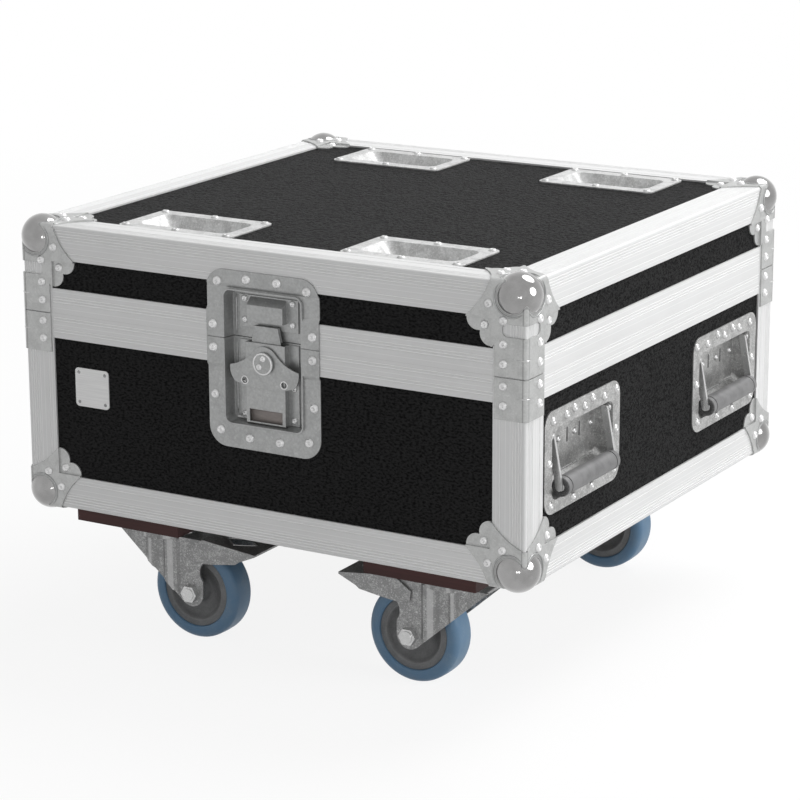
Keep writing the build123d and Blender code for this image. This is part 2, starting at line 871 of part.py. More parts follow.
# Latch.
def latch_flange():
    """The flange, cranked over the closure band and up onto the lid's top edging."""
    band_low = split - closure_height - 1
    band_high = split + closure_height + 1
    edging_low = case_top - leg - 1
    top = split + latch_above
    bottom = top - latch_height
    back = [
        (skin, bottom),
        (skin, band_low - flange_ramp),
        (0, band_low),
        (0, band_high),
        (skin, band_high + flange_ramp),
        (skin, edging_low - flange_ramp),
        (0, edging_low),
        (0, top),
    ]
    front = [(u - flange_sheet, z) for u, z in reversed(back)]
    plane = Plane((-latch_width / 2, -half_y, 0), x_dir=(0, 1, 0), z_dir=(1, 0, 0))
    strip = prism(back + front, plane, latch_width)
    middle = Plane((0, -half_y, (top + bottom) / 2), x_dir=(1, 0, 0), z_dir=(0, -1, 0))
    outline = middle * RectangleRounded(latch_width, latch_height, latch_round)
    return strip & extrude(outline, 6, both=True)


def latch_dishes():
    middle = split + (dish_above - dish_below) / 2
    height = dish_above + dish_below

    def well(wall_out, start, end):
        first = Plane((0, -half_y + start, middle), x_dir=(1, 0, 0), z_dir=(0, -1, 0))
        second = Plane((0, -half_y + end, middle), x_dir=(1, 0, 0), z_dir=(0, -1, 0))
        wide = dish_width + 2 * wall_out
        tall = height + 2 * wall_out
        low = second * RectangleRounded(
            wide - 2 * dish_draft, tall - 2 * dish_draft, 5 + wall_out
        )
        high = first * RectangleRounded(wide, tall, 7 + wall_out)
        return loft([high, low])

    big = latch_width
    body = well(dish_wall, -flange_sheet, dish_depth + dish_wall)
    body -= block((-big, -half_y - 9, case_floor), (big, -half_y - flange_sheet, case_top))
    cavity = well(0, -flange_sheet - 3, dish_depth)
    whole = latch_flange() + body - cavity
    gap = latch_split_gap / 2
    lower = whole & block((-big, -half_y - 20, case_floor), (big, -half_y + 40, split - gap))
    upper = whole & block((-big, -half_y - 20, split + gap), (big, -half_y + 40, case_top))
    return lower, upper


def depth(value):
    """A depth below the front edging's face, as a y coordinate."""
    return -half_y + value


cover_front = wing_depth + wing_sheet + cover_behind_wing
hook_front = cover_front + flange_sheet + hook_behind_cover
hook_back = hook_front + hook_sheet


def latch_wing():
    """The butterfly: a plate with two wings that turns on the hub stud."""
    far, low, round_hub = wing_reach, wing_drop, wing_hub_radius
    shoulder = (0.8 * round_hub, 0.6 * round_hub)
    heel = (0.87 * far, -0.82 * low)
    tip = (far, -0.2 * low)
    edges = [
        ThreePointArc((0, -low), (0.5 * far, -0.97 * low), heel),
        ThreePointArc(heel, (0.975 * far, -0.55 * low), tip),
        ThreePointArc(tip, (0.62 * far, 0.02 * low), shoulder),
        ThreePointArc(shoulder, (0.45 * round_hub, 0.893 * round_hub), (0, round_hub)),
        Line((0, round_hub), (0, -low)),
    ]
    half = make_face(edges)
    face = half + mirror(half, about=Plane.YZ)
    for x in (-wing_hole_spread, wing_hole_spread):
        face -= Pos(x, -wing_hole_drop) * Circle(wing_hole_radius)
    face -= Circle(stud_radius + running_gap)
    plane = Plane((0, depth(wing_depth), hub_z), x_dir=(1, 0, 0), z_dir=(0, -1, 0))
    return extrude(plane * face, -wing_sheet)


def latch_hook():
    """The drawn hook behind the cover: a tapered plate with turned-in sides and nose."""
    foot = hub_z - hook_foot_drop
    top = split + hook_above
    outline = [
        (-hook_foot_half, foot),
        (hook_foot_half, foot),
        (hook_foot_half, hub_z),
        (hook_neck_half, split),
        (hook_nose_half, top),
        (-hook_nose_half, top),
        (-hook_neck_half, split),
        (-hook_foot_half, hub_z),
    ]
    plane = Plane((0, depth(hook_front), 0), x_dir=(1, 0, 0), z_dir=(0, -1, 0))
    hook = prism(outline, plane, -hook_sheet)
    flap = prism(
        [
            (hook_neck_half - hook_sheet, split),
            (hook_neck_half, split),
            (hook_nose_half, top),
            (hook_nose_half - hook_sheet, top),
        ],
        Plane((0, depth(hook_back), 0), x_dir=(1, 0, 0), z_dir=(0, -1, 0)),
        -hook_turned_in,
    )
    hook += flap + mirror(flap, about=Plane.YZ)
    nose = top - hook_sheet - 0.5
    hook += block(
        (-hook_nose_half, depth(hook_back), nose), (hook_nose_half, depth(hook_back + hook_turned_in), top)
    )
    slot = stud_radius + keeper_clear
    low = hub_z - slot - hook_travel
    return hook - block(
        (-slot, depth(hook_front) - 1, low), (slot, depth(hook_back) + 1, hub_z + slot + 1)
    )


def latch_keeper():
    """The keeper on the lid's dish: a base plate with the hook's ledge, under a hat."""
    t = flange_sheet
    high = split + keeper_above
    ledge = split + hook_above - hook_sheet - 0.5
    base = block(
        (-cover_half, depth(dish_depth - t), ledge - 2), (cover_half, depth(dish_depth), high)
    )
    reach = hook_nose_half - hook_sheet - keeper_clear
    lip = hook_back + hook_turned_in + keeper_clear
    base += block((-reach, depth(lip), ledge - 2), (reach, depth(dish_depth), ledge - 0.5))
    near = cover_front
    low = split + keeper_hat_above
    bend = high - keeper_slope
    plane = Plane((-keeper_hat_half, -half_y, 0), x_dir=(0, 1, 0), z_dir=(1, 0, 0))
    strap = [
        (dish_depth, high),
        (near, bend),
        (near, low),
        (near + t, low),
        (near + t, bend - 0.6),
        (dish_depth - t, high - 2 * t),
        (dish_depth, high - 2 * t),
    ]
    hat = prism(strap, plane, 2 * keeper_hat_half)
    cheek = [(dish_depth, high), (near, bend), (near, low), (dish_depth, low)]
    side = prism(cheek, plane, t)
    return base + hat + side + mirror(side, about=Plane.YZ)


def latch_mechanism():
    """The riveted cover over the latch's works, with its window and the hub stud."""
    low = split - dish_below + dish_draft
    high = split - cover_top_gap
    t = flange_sheet
    hat = cover_hat_half
    section = [
        (-cover_half, dish_depth),
        (-cover_half, dish_depth - t),
        (-hat, dish_depth - t),
        (-hat, cover_front),
        (hat, cover_front),
        (hat, dish_depth - t),
        (cover_half, dish_depth - t),
        (cover_half, dish_depth),
        (hat - t, dish_depth),
        (hat - t, cover_front + t),
        (-hat + t, cover_front + t),
        (-hat + t, dish_depth),
    ]
    plane = Plane((0, -half_y, low), x_dir=(1, 0, 0), z_dir=(0, 0, 1))
    cover = prism(section, plane, high - low)
    cover -= block(
        (-window_half_width, depth(cover_front - 1), low + t),
        (window_half_width, depth(cover_front + t + 1), low + t + cover_window_height),
    )
    top = wing_depth - 0.3
    end = hook_back + 1
    outwards = Pos(0, -half_y, hub_z) * Rot(90, 0, 0)
    lowest = (Align.CENTER, Align.CENTER, Align.MIN)
    stud = Pos(0, 0, -end) * Cylinder(stud_radius, end - top + 0.5, align=lowest)
    head = Pos(0, 0, -top) * Cylinder(stud_head_radius, stud_head_height, align=lowest)
    head = chamfer(head.edges().filter_by(GeomType.CIRCLE).sort_by(Axis.Z)[-1], 0.8)
    return cover + outwards * (stud + head)


# Hinges, plate.
def hinge_half(start, upwards):
    """One leaf with every second knuckle, and the webs that join them, on the left hinge."""
    side = 1 if upwards else -1
    far = half_y + flange_sheet
    rise = knuckle_radius + 1.2
    z0, z1 = sorted((split + side * rise, split + side * hinge_leaf))
    pieces = block((-hinge_width / 2, half_y, z0), (hinge_width / 2, far, z1))
    pitch = hinge_width / knuckle_count
    z0, z1 = sorted((split, split + side * (rise + 0.4)))
    for index in range(start, knuckle_count, 2):
        x = -hinge_width / 2 + (index + 0.5) * pitch
        half = (pitch - knuckle_end_gap) / 2
        tube = Pos(x, hinge_axis_y, split) * Rot(0, 90, 0) * Cylinder(knuckle_radius, 2 * half)
        pieces += tube + block((x - half, half_y + 0.3, z0), (x + half, far, z1))
    bore = Pos(0, hinge_axis_y, split) * Rot(0, 90, 0)
    pieces -= bore * Cylinder(hinge_pin_radius + running_gap, hinge_width + 4)
    return Pos(-half_x + hinge_inset, 0, 0) * pieces


def hinge_pin():
    pin = Rot(0, 90, 0) * Cylinder(hinge_pin_radius, hinge_width + 1)
    return Pos(-half_x + hinge_inset, hinge_axis_y, split) * pin


def name_plate():
    plane = Plane(
        (-half_x + plate_blank_inset, -half_y + skin, split - plate_blank_below),
        x_dir=(1, 0, 0),
        z_dir=(0, -1, 0),
    )
    return rounded_plate(
        plane, plate_blank_width, plate_blank_height, 4, plate_blank_sheet
    )


# The nodes.
base_section, lid_section = closure_sections()
latch_hole = latch_cutout()
handle_holes = handle_cutouts()
cup_holes = cup_cutouts()

base_wall_low = case_floor + panel_side
base_wall_high = split - closure_land - panel_fit
front = wall("y", base_wall_low, base_wall_high)
left = wall("x", base_wall_low, base_wall_high)
save("base_front_panel", [front - latch_hole])
save("base_back_panel", [mirror(front, about=Plane.XZ)])
sides = [left - handle_holes, mirror(left, about=Plane.YZ) - handle_holes]
save("base_side_panels", sides)
floor = flat_panel(case_floor + skin)
for hole in bolt_holes(case_floor - 1, case_floor + inner + 1):
    floor -= four(at_castor(hole))
save("base_floor_panel", [floor])

lid_wall_low = split + tongue_height + tongue_top_play + lip_wall + panel_fit
lid_wall_high = case_top - panel_side
front = wall("y", lid_wall_low, lid_wall_high)
left = wall("x", lid_wall_low, lid_wall_high)
save("lid_front_panel", [front - latch_hole])
save("lid_back_panel", [mirror(front, about=Plane.XZ)])
save("lid_side_panels", two(left))
save("lid_top_panel", [flat_panel(case_top - inner) - cup_holes])

ring = edge_ring()
save("base_bottom_edging", [Pos(0, 0, case_floor) * piece for piece in ring])
save("lid_top_edging", flipped(ring, case_top))
post = corner_post(base_height - leg)
save("base_corner_edging", [Pos(0, 0, case_floor + leg) * piece for piece in post])
post = corner_post(lid_height - leg)
save("lid_corner_edging", [Pos(0, 0, split) * piece for piece in post])
near, far = closure_groove_near, closure_groove_far
ring = closure_ring(base_section, [-near, -near - groove_pitch, -far, -far - groove_pitch])
save("base_closure", [piece - latch_hole for piece in ring])
ring = closure_ring(lid_section, [far, far - groove_pitch, far - 2 * groove_pitch])
save("lid_closure", [piece - latch_hole for piece in ring])

low_corner = Pos(-half_x, -half_y, case_floor) * ball_corner(True, 0)
save("base_ball_corners", four(low_corner))
high_corner = ball_corner(False, lid_height - brace_gap)
high_corner = Pos(-half_x, -half_y, case_top) * mirror(high_corner, about=Plane.XY)
save("lid_ball_corners", four(high_corner))
brace = brace_strip(split - brace_below_split, split - brace_gap)
brace = Pos(-half_x, -half_y, 0) * brace
save("base_corner_braces", four(brace))

lower_dish, upper_dish = latch_dishes()
save("latch_base_dish", [lower_dish])
save("latch_lid_dish", [upper_dish])
save("latch_keeper", [latch_keeper()])
save("latch_mechanism", [latch_mechanism()])
save("latch_hook", [latch_hook()])
save("latch_wing", [latch_wing()])
save("name_plate", [name_plate()])

dish = Pos(0, -handle_y, 0) * handle_dish()
save("handle_dishes", four(dish))
bail = Pos(0, -handle_y, 0) * handle_bail()
grip = Pos(0, -handle_y, 0) * handle_grip()
places = ["front_left", "front_right", "rear_left", "rear_right"]
for place, piece in zip(places, four(bail)):
    save("handle_bail_" + place, [piece])
for place, piece in zip(places, four(grip)):
    save("handle_grip_" + place, [piece])

save("castor_boards", four(at_castor(castor_board())))
save("castor_plates", four(at_castor(castor_plate())))
bolts = []
for bolt in castor_bolts():
    bolts += four(at_castor(bolt))
save("castor_bolts", bolts)
for name, piece in (
    ("castor_fork", castor_fork()),
    ("castor_axle", castor_axle()),
    ("castor_hub", wheel_hub()),
    ("castor_tyre", wheel_tyre()),
    ("castor_pedal", brake_pedal()),
):
    for place, placed in zip(places, four(at_castor(piece))):
        save(name + "_" + place, [placed])

save("stacking_cups", four(castor_cup()))
save("hinge_base_leaves", two(hinge_half(1, False)))
save("hinge_lid_leaves", two(hinge_half(0, True)))
save("hinge_pins", two(hinge_pin()))
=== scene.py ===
import bmesh
import bpy
import math
import numpy as np
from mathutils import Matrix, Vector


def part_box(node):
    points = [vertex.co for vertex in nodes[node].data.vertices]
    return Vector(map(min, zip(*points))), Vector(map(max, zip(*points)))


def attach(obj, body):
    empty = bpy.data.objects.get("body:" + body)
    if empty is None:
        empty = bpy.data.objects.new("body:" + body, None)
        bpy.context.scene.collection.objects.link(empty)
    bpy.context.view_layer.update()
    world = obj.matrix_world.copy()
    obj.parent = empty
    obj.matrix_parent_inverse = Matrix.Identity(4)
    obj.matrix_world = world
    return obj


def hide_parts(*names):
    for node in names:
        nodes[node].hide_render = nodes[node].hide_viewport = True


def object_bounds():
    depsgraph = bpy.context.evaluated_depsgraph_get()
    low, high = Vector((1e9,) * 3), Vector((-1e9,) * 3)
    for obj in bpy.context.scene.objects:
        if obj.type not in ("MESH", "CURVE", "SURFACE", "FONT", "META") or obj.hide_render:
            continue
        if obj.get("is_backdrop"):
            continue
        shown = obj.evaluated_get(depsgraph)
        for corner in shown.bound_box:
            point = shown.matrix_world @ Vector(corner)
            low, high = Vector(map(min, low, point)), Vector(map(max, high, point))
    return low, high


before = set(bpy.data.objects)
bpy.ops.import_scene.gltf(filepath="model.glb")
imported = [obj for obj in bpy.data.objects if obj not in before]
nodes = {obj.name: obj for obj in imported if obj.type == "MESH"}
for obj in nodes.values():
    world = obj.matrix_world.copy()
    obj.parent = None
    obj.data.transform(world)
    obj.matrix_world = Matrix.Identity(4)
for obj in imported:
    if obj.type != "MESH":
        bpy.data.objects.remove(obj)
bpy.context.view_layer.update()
# the places of the castors and handles, with their sides in x and y
sideOf = {"front_left": (-1, -1), "front_right": (1, -1),
          "rear_left": (-1, 1), "rear_right": (1, 1)}

# the case's own planes, in metres
edgingLow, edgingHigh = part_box("base_bottom_edging")
halfX, halfY, caseFloor = edgingHigh.x, edgingHigh.y, edgingLow.z
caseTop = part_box("lid_top_edging")[1].z
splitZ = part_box("lid_corner_edging")[0].z
# the ball corners: how far in the ball's middle lies, its radius, and the plates' thickness
corner = {"inset": 0.0145, "ball": 0.0215, "sheet": 0.0016}
print("frame loaded, case", round(halfX * 2, 3), round(halfY * 2, 3), round(caseTop, 3))


class Wire:
    # a shader socket; the operators add Math nodes to its tree
    def __init__(self, tree, socket=None):
        self.tree = tree
        self.socket = socket

    def node(self, kind, settings=None, inputs=None, out=0):
        # settings come before inputs, because some of them change the sockets. out is the
        # output that is wanted, or a tuple of several
        made = self.tree.nodes.new(kind)
        for key, value in (settings or {}).items():
            setattr(made, key, value)
        for key, value in (inputs or {}).items():
            if isinstance(value, Wire):
                self.tree.links.new(value.socket, made.inputs[key])
            else:
                made.inputs[key].default_value = value
        if isinstance(out, tuple):
            return [Wire(self.tree, made.outputs[key]) for key in out]
        return Wire(self.tree, made.outputs[out] if made.outputs else None)

    def math(self, operation, *others, clamp=False):
        values = dict(enumerate((self, *others)))
        return self.node("ShaderNodeMath", {"operation": operation, "use_clamp": clamp}, values)

    def __add__(self, other):
        return self.math("ADD", other)

    __radd__ = __add__

    def __sub__(self, other):
        return self.math("SUBTRACT", other)

    def __rsub__(self, other):
        return self.node("ShaderNodeMath", {"operation": "SUBTRACT"}, {0: other, 1: self})

    def __mul__(self, other):
        return self.math("MULTIPLY", other)

    __rmul__ = __mul__

    def __gt__(self, other):
        return self.math("GREATER_THAN", other)

    def __abs__(self):
        return self.math("ABSOLUTE")

    def clamp(self):
        return self.math("ADD", 0.0, clamp=True)

    def most(self, other):
        return self.math("MAXIMUM", other)

    def least(self, other):
        return self.math("MINIMUM", other)

    def smooth(self, low, high):
        # 0 below low, 1 above high, eased between them
        return self.node("ShaderNodeMapRange", {"interpolation_type": "SMOOTHSTEP"},
                         {"Value": self, "From Min": low, "From Max": high})

    def band(self, low, high, soft):
        # 1 between low and high, 0 outside
        return self.smooth(low - soft, low + soft) * (1 - self.smooth(high - soft, high + soft))

    def mixColor(self, first, second):
        # first where this wire is 0, second where it is 1
        return self.node("ShaderNodeMix", {"data_type": "RGBA"},
                         {0: self, 6: opaque(first), 7: opaque(second)}, out=2)

    def noise(self, scale, detail, roughness, stretch=None):
        return self.node("ShaderNodeTexNoise", {},
                         {"Vector": self.where(stretch), "Scale": scale,
                          "Detail": detail, "Roughness": roughness})

    def cells(self, scale):
        return self.node("ShaderNodeTexVoronoi", {"feature": "F1"},
                         {"Vector": self.where(), "Scale": scale})

    def where(self, stretch=None):
        # Object coordinates, squeezed along each axis where stretch is given
        spot = self.node("ShaderNodeTexCoord", out=3)
        if stretch is None:
            return spot
        return self.node("ShaderNodeVectorMath", {"operation": "MULTIPLY"}, {0: spot, 1: stretch})

    def parts(self):
        # the three Object coordinates as wires
        return self.node("ShaderNodeSeparateXYZ", {}, {0: self.where()}, out=(0, 1, 2))

    def sideIn(self):
        # how far inside the side walls, how far inside the front and back walls, and the height
        x, y, z = self.parts()
        return halfX - abs(x), halfY - abs(y), z


def opaque(value):
    # a colour of three numbers gets its alpha; anything else stays
    return (*value, 1.0) if isinstance(value, tuple) and len(value) == 3 else value


finishes = {}
softEdge = {"samples": 4, "radius": 0.0005}


def finish(name, build):
    # build gives the Principled shader's sockets; "Bump" and "Edge" are turned into its Normal
    made = bpy.data.materials.new(name)
    made.use_nodes = True
    tree = made.node_tree
    tree.nodes.clear()
    wire = Wire(tree)
    sockets = build(wire)
    normal = wire.node("ShaderNodeBevel", {"samples": softEdge["samples"]},
                       {"Radius": sockets.pop("Edge", softEdge["radius"])})
    for height, strength, distance in sockets.pop("Bump", []):
        normal = wire.node("ShaderNodeBump", {}, {"Height": height, "Strength": strength,
                                                  "Distance": distance, "Normal": normal})
    sockets["Normal"] = normal
    sockets["Base Color"] = opaque(sockets["Base Color"])
    shader = wire.node("ShaderNodeBsdfPrincipled", {}, sockets)
    wire.node("ShaderNodeOutputMaterial", {}, {"Surface": shader})
    finishes[name] = made


# black laminate: a skin of short level wrinkles, darker in the furrows between them as painted
# shade and paler on their crests as painted highlights
# furrowShade is the painted shade of the furrows, and skin is the crests' tone with their painted
# highlight
laminate = {"furrowShade": (0.0085, 0.0085, 0.0087), "skin": (0.0380, 0.0380, 0.0384),
            "grain": 520, "long": (0.55, 0.55, 1.0), "fine": 2.6, "fineShare": 0.15,
            "dust": 7, "dustShare": 0.08, "depth": 0.0060, "rough": 0.40, "rougher": 0.15,
            "gloss": 0.01, "edge": 0.0006}


def blackLaminate(w):
    wrinkle = w.noise(laminate["grain"], 3, 0.55, stretch=laminate["long"])
    fine = w.noise(laminate["grain"] * laminate["fine"], 2, 0.5)
    height = wrinkle * (1 - laminate["fineShare"]) + fine * laminate["fineShare"]
    dust = w.noise(laminate["dust"], 4, 0.6).smooth(0.42, 0.78)
    # the tone follows the wrinkles' height: painted shade in the furrows, painted highlight on
    # the crests
    crestHighlight = height.smooth(0.35, 0.58) * (1 - laminate["dustShare"])
    tone = (crestHighlight + dust * laminate["dustShare"]).clamp()
    return {"Base Color": tone.mixColor(laminate["furrowShade"], laminate["skin"]),
            "Roughness": wrinkle * laminate["rougher"] + laminate["rough"],
            "Specular IOR Level": laminate["gloss"],
            "Bump": [(height, 1.0, laminate["depth"])], "Edge": laminate["edge"]}


# drawn aluminium: ribs and hairlines run along each length. The ribs are bright painted
# highlights over the real grooves, with painted shadow beside each, and the hairlines are low
# ridges also painted as bright highlights. Each lies at a distance over the face, from the case's
# edge or from the lid line. From there the rib, the shadow beside it and the hairline have two
# edges each
extrusion = {"color": (0.73, 0.732, 0.732), "line": (0.96, 0.962, 0.96),
             "darkAndShadow": (0.63, 0.632, 0.632), "metal": 0.2, "rough": 0.38, "rougher": 0.08,
             "edgeRibs": (0.0044, 0.0072, 0.0100, 0.0128, 0.0264),
             "edgeHairs": (0.0158, 0.0205, 0.0300),
             "baseRibs": (0.0039, 0.0067, 0.0155, 0.0183), "baseHairs": (0.0112,),
             "lidRibs": (0.0108, 0.0136, 0.0164), "lidHairs": (0.0052, 0.0215),
             "rib": (-0.0001, 0.0009), "shadow": (-0.0007, -0.0002), "hair": (0, 0.0004),
             "ribBlur": 0.00015, "blur": 0.0002,
             "grain": (60, 4, 0.55), "squeezed": 6, "drawn": 0.01, "blotch": (11, 3, 0.6),
             "grainShare": 0.07, "blotchShare": 0.25, "shadowShare": 0.4, "hairShare": 0.6,
             "grainBump": 0.05, "bump": (0.3, 0.0003)}


def lines(across, places, edges, blur):
    # 1 on the line at each of the places, 0 between them
    low, high = edges
    return sum((across.band(at + low, at + high, blur) for at in places), start=across * 0.0)


def drawn(w, across, ribs, hairs, grain):
    # across is the distance over the face, at right angles to the length
    blur = extrusion["blur"]
    # ribHighlight paints a bright line over each groove, shadow paints shade beside it, and each
    # hairline is a bump ridge painted bright
    ribHighlight = lines(across, ribs, extrusion["rib"], extrusion["ribBlur"])
    shadow = lines(across, ribs, extrusion["shadow"], blur)
    hair = lines(across, hairs, extrusion["hair"], blur) * extrusion["hairShare"]
    blotch = w.noise(*extrusion["blotch"]).smooth(0.35, 0.75)
    # the darker tone mixes random grain and blotches with the painted shadow
    tone = (grain * extrusion["grainShare"] + blotch * extrusion["blotchShare"]
            + shadow * extrusion["shadowShare"]).clamp()
    color = tone.mixColor(extrusion["color"], extrusion["darkAndShadow"])
    color = (ribHighlight + hair).clamp().mixColor(color, extrusion["line"])
    return {"Base Color": color, "Metallic": extrusion["metal"],
            "Roughness": grain * extrusion["rougher"] + extrusion["rough"],
            "Bump": [(grain * extrusion["grainBump"] + hair, *extrusion["bump"])]}


def drawnGrain(w, axis):
    # noise drawn out along one axis
    stretch = [extrusion["squeezed"]] * 3
    stretch[axis] = extrusion["drawn"]
    return w.noise(*extrusion["grain"], stretch=tuple(stretch))


def ringGrain(w):
    # the grain follows the longer side, and turns at the mitres where both walls are as near
    inX, inY = w.sideIn()[:2]
    onSide = (inY - inX) > 0.0
    alongX, alongY = drawnGrain(w, 0), drawnGrain(w, 1)
    return alongY * onSide + alongX * (1 - onSide)


def ringEdging(w):
    inX, inY, z = w.sideIn()
    fromEnd = (caseTop - z).least(z - caseFloor)
    return drawn(w, inX.least(inY).most(fromEnd), extrusion["edgeRibs"],
                 extrusion["edgeHairs"], ringGrain(w))


def baseBand(w):
    below = splitZ - w.parts()[2]
    return drawn(w, below, extrusion["baseRibs"], extrusion["baseHairs"], ringGrain(w))


def lidBand(w):
    above = w.parts()[2] - splitZ
    return drawn(w, above, extrusion["lidRibs"], extrusion["lidHairs"], ringGrain(w))


def postAluminium(w):
    inX, inY = w.sideIn()[:2]
    return drawn(w, inX.most(inY), extrusion["edgeRibs"], extrusion["edgeHairs"],
                 drawnGrain(w, 2))


# zinc plate: cloudy, with a fine speckle and painted glints, both strongest on the castors
zinc = {
    "corner": {"color": (0.510, 0.515, 0.510), "cloudy": 0.25, "speckle": 0.2, "rough": 0.30,
               "scale": 80, "metal": 0.55},
    "latch": {"color": (0.400, 0.405, 0.403), "cloudy": 0.22, "speckle": 0.28, "rough": 0.26,
              "scale": 60, "metal": 0.6},
    "dish": {"color": (0.500, 0.500, 0.495), "cloudy": 0.7, "speckle": 0.7, "rough": 0.26,
             "scale": 95, "metal": 0.65},
    "cup": {"color": (0.640, 0.642, 0.640), "cloudy": 0.5, "speckle": 0.4, "rough": 0.32,
            "scale": 95, "metal": 0.35},
    "castor": {"color": (0.410, 0.412, 0.412), "cloudy": 0.9, "speckle": 1.0, "rough": 0.36,
               "scale": 110, "metal": 0.55},
    "fork": {"color": (0.410, 0.412, 0.412), "cloudy": 0.8, "speckle": 1.0, "rough": 0.36,
             "scale": 110, "metal": 0.5},
    "bright": {"color": (0.60, 0.602, 0.60), "cloudy": 0.2, "speckle": 0.2, "rough": 0.20,
               "scale": 90, "metal": 0.8},
}
# how much finer than the cloud each grain of the zinc is, how dark it gets in the cloud and
# how bright its painted glints are, as shares of its colour
spangles = {"fine": 8, "cells": 6, "paintedGlints": 5, "dull": 0.62, "bright": 1.5, "rougher": 0.18,
            "bump": 0.1, "speckleBump": 0.25, "edge": 0.0007}


def zincSheet(w, look):
    color, speckle, scale = look["color"], look["speckle"], look["scale"]
    cloud = w.noise(scale, 5, 0.62)
    fine = w.noise(scale * spangles["fine"], 3, 0.65)
    spangle = w.cells(scale * spangles["cells"])
    grains = (fine + spangle * 0.5).smooth(0.55, 0.95)
    tone = (cloud.smooth(0.42, 0.62) * look["cloudy"] + grains * speckle).clamp()
    shaded = tone.mixColor(color, tuple(part * spangles["dull"] for part in color))
    # paintedGlint lightens small spots of the colour as painted highlights
    paintedGlint = (w.noise(scale * spangles["paintedGlints"], 3, 0.7).smooth(0.56, 0.68) * speckle).clamp()
    shaded = paintedGlint.mixColor(shaded, tuple(part * spangles["bright"] for part in color))
    strength = spangles["bump"] + spangles["speckleBump"] * speckle
    return {"Base Color": shaded, "Metallic": look["metal"],
            "Roughness": cloud * spangles["rougher"] + look["rough"], "Edge": spangles["edge"],
            "Bump": [(fine * 0.6 + spangle * 0.4, strength, 0.0004)]}


# skin and the painted seam shade are counted from the ball's surface, the painted crease shade
# from the case's upright edge
ball = {"color": (0.20, 0.197, 0.195), "patch": (0.28, 0.277, 0.275), "patches": (45, 4, 0.55),
        "rough": 0.10, "metal": 0.95, "coat": 0.9, "coatIOR": 1.9,
        "skin": (-0.0003, 0.0003), "blur": 0.0001}
creaseShade = {"color": (0.16, 0.16, 0.16), "share": 0.55, "edges": (0.0021, 0.0031),
          "seamShade": (0.0004, 0.0012), "blur": 0.0003, "bump": (0.6, 0.0005)}


def zincCorner(w):
    # the balls are polished; a dark seam round them and a dark crease along each bend are painted
    # shade
    sockets = zincSheet(w, zinc["corner"])
    inX, inY, z = w.sideIn()
    fromEnd = (caseTop - z).least(z - caseFloor)
    away = [part - corner["inset"] for part in (inX, inY, fromEnd)]
    distance = sum((part * part for part in away[1:]), start=away[0] * away[0]).math("SQRT")
    onBall = lines(distance, [corner["ball"]], ball["skin"], ball["blur"])
    seamShade = lines(distance, [corner["ball"]], creaseShade["seamShade"], creaseShade["blur"])
    # bend darkens the colour along each bend as painted shade, and dents the bump there
    bend = inX.most(inY).band(*creaseShade["edges"], creaseShade["blur"]) * (1 - onBall)
    polished = w.noise(*ball["patches"]).smooth(0.35, 0.7).mixColor(ball["color"], ball["patch"])
    shadedPlate = (seamShade * creaseShade["share"] + bend * creaseShade["share"]).clamp().mixColor(
        sockets["Base Color"], creaseShade["color"])
    metal = zinc["corner"]["metal"]
    sockets["Base Color"] = onBall.mixColor(shadedPlate, polished)
    sockets["Roughness"] = sockets["Roughness"] * (1 - onBall) + onBall * ball["rough"]
    sockets["Metallic"] = onBall * (ball["metal"] - metal) + metal
    sockets["Coat Weight"] = onBall * ball["coat"]
    sockets["Coat IOR"] = ball["coatIOR"]
    sockets["Bump"] = sockets["Bump"] + [(1 - bend, *creaseShade["bump"])]
    return sockets


# each fork leg has two pressed ribs, with painted highlights along their crowns and painted shade
# down their flanks.
# Crowns and flanks are distances in x from the swivel, towards the wheel
forkRibs = {"swivel": 0.1665, "crowns": ((0.0125, 0.0195), (-0.0100, -0.0066)),
            "flankShades": ((0.0068, 0.0098), (0.0238, 0.0268), (-0.0140, -0.0118)),
            # crown is the colour of the painted highlight along the rib crowns
            "crown": (0.60, 0.60, 0.60), "crownHighlightShare": 0.6, "crownBlur": 0.0008,
            "flankShade": (0.18, 0.18, 0.18), "flankShadeShare": 0.55, "flankShadeBlur": 0.0006}


def zincFork(w):
    sockets = zincSheet(w, zinc["fork"])
    x = w.parts()[0]
    toWheel = forkRibs["swivel"] - abs(x)
    crown, flankShade = (sum((toWheel.band(low, high, forkRibs[part + "Blur"])
                         for low, high in forkRibs[part + "s"]), start=x * 0.0)
                    for part in ("crown", "flankShade"))
    color = (flankShade * forkRibs["flankShadeShare"]).mixColor(sockets["Base Color"], forkRibs["flankShade"])
    sockets["Base Color"] = (crown * forkRibs["crownHighlightShare"]).mixColor(color, forkRibs["crown"])
    return sockets


# in the rest, a grain, a cloud or a fine grain is (scale, detail, roughness), a bump is
# (strength, distance), and rougher is what a crest of the grain adds to rough
board = {"color": (0.055, 0.018, 0.017), "dark": (0.026, 0.011, 0.010), "plies": 1700,
         "grain": (40, 4, 0.6), "long": (0.12, 1, 1), "grainShare": 0.7, "plyShare": 0.2,
         "rough": 0.5, "rougher": 0.2, "gloss": 0.3, "bump": (0.25, 0.0006), "edge": 0.0008}


def stainedPly(w):
    # the plies show as a sine over the height, and the stain is darker along the grain
    grain = w.noise(*board["grain"], stretch=board["long"])
    layer = (w.parts()[2] * board["plies"]).math("SINE").smooth(-0.6, 0.6)
    tone = (grain.smooth(0.35, 0.7) * board["grainShare"] + layer * board["plyShare"]).clamp()
    return {"Base Color": tone.mixColor(board["color"], board["dark"]),
            "Roughness": grain * board["rougher"] + board["rough"],
            "Specular IOR Level": board["gloss"],
            "Bump": [(grain, *board["bump"])], "Edge": board["edge"]}


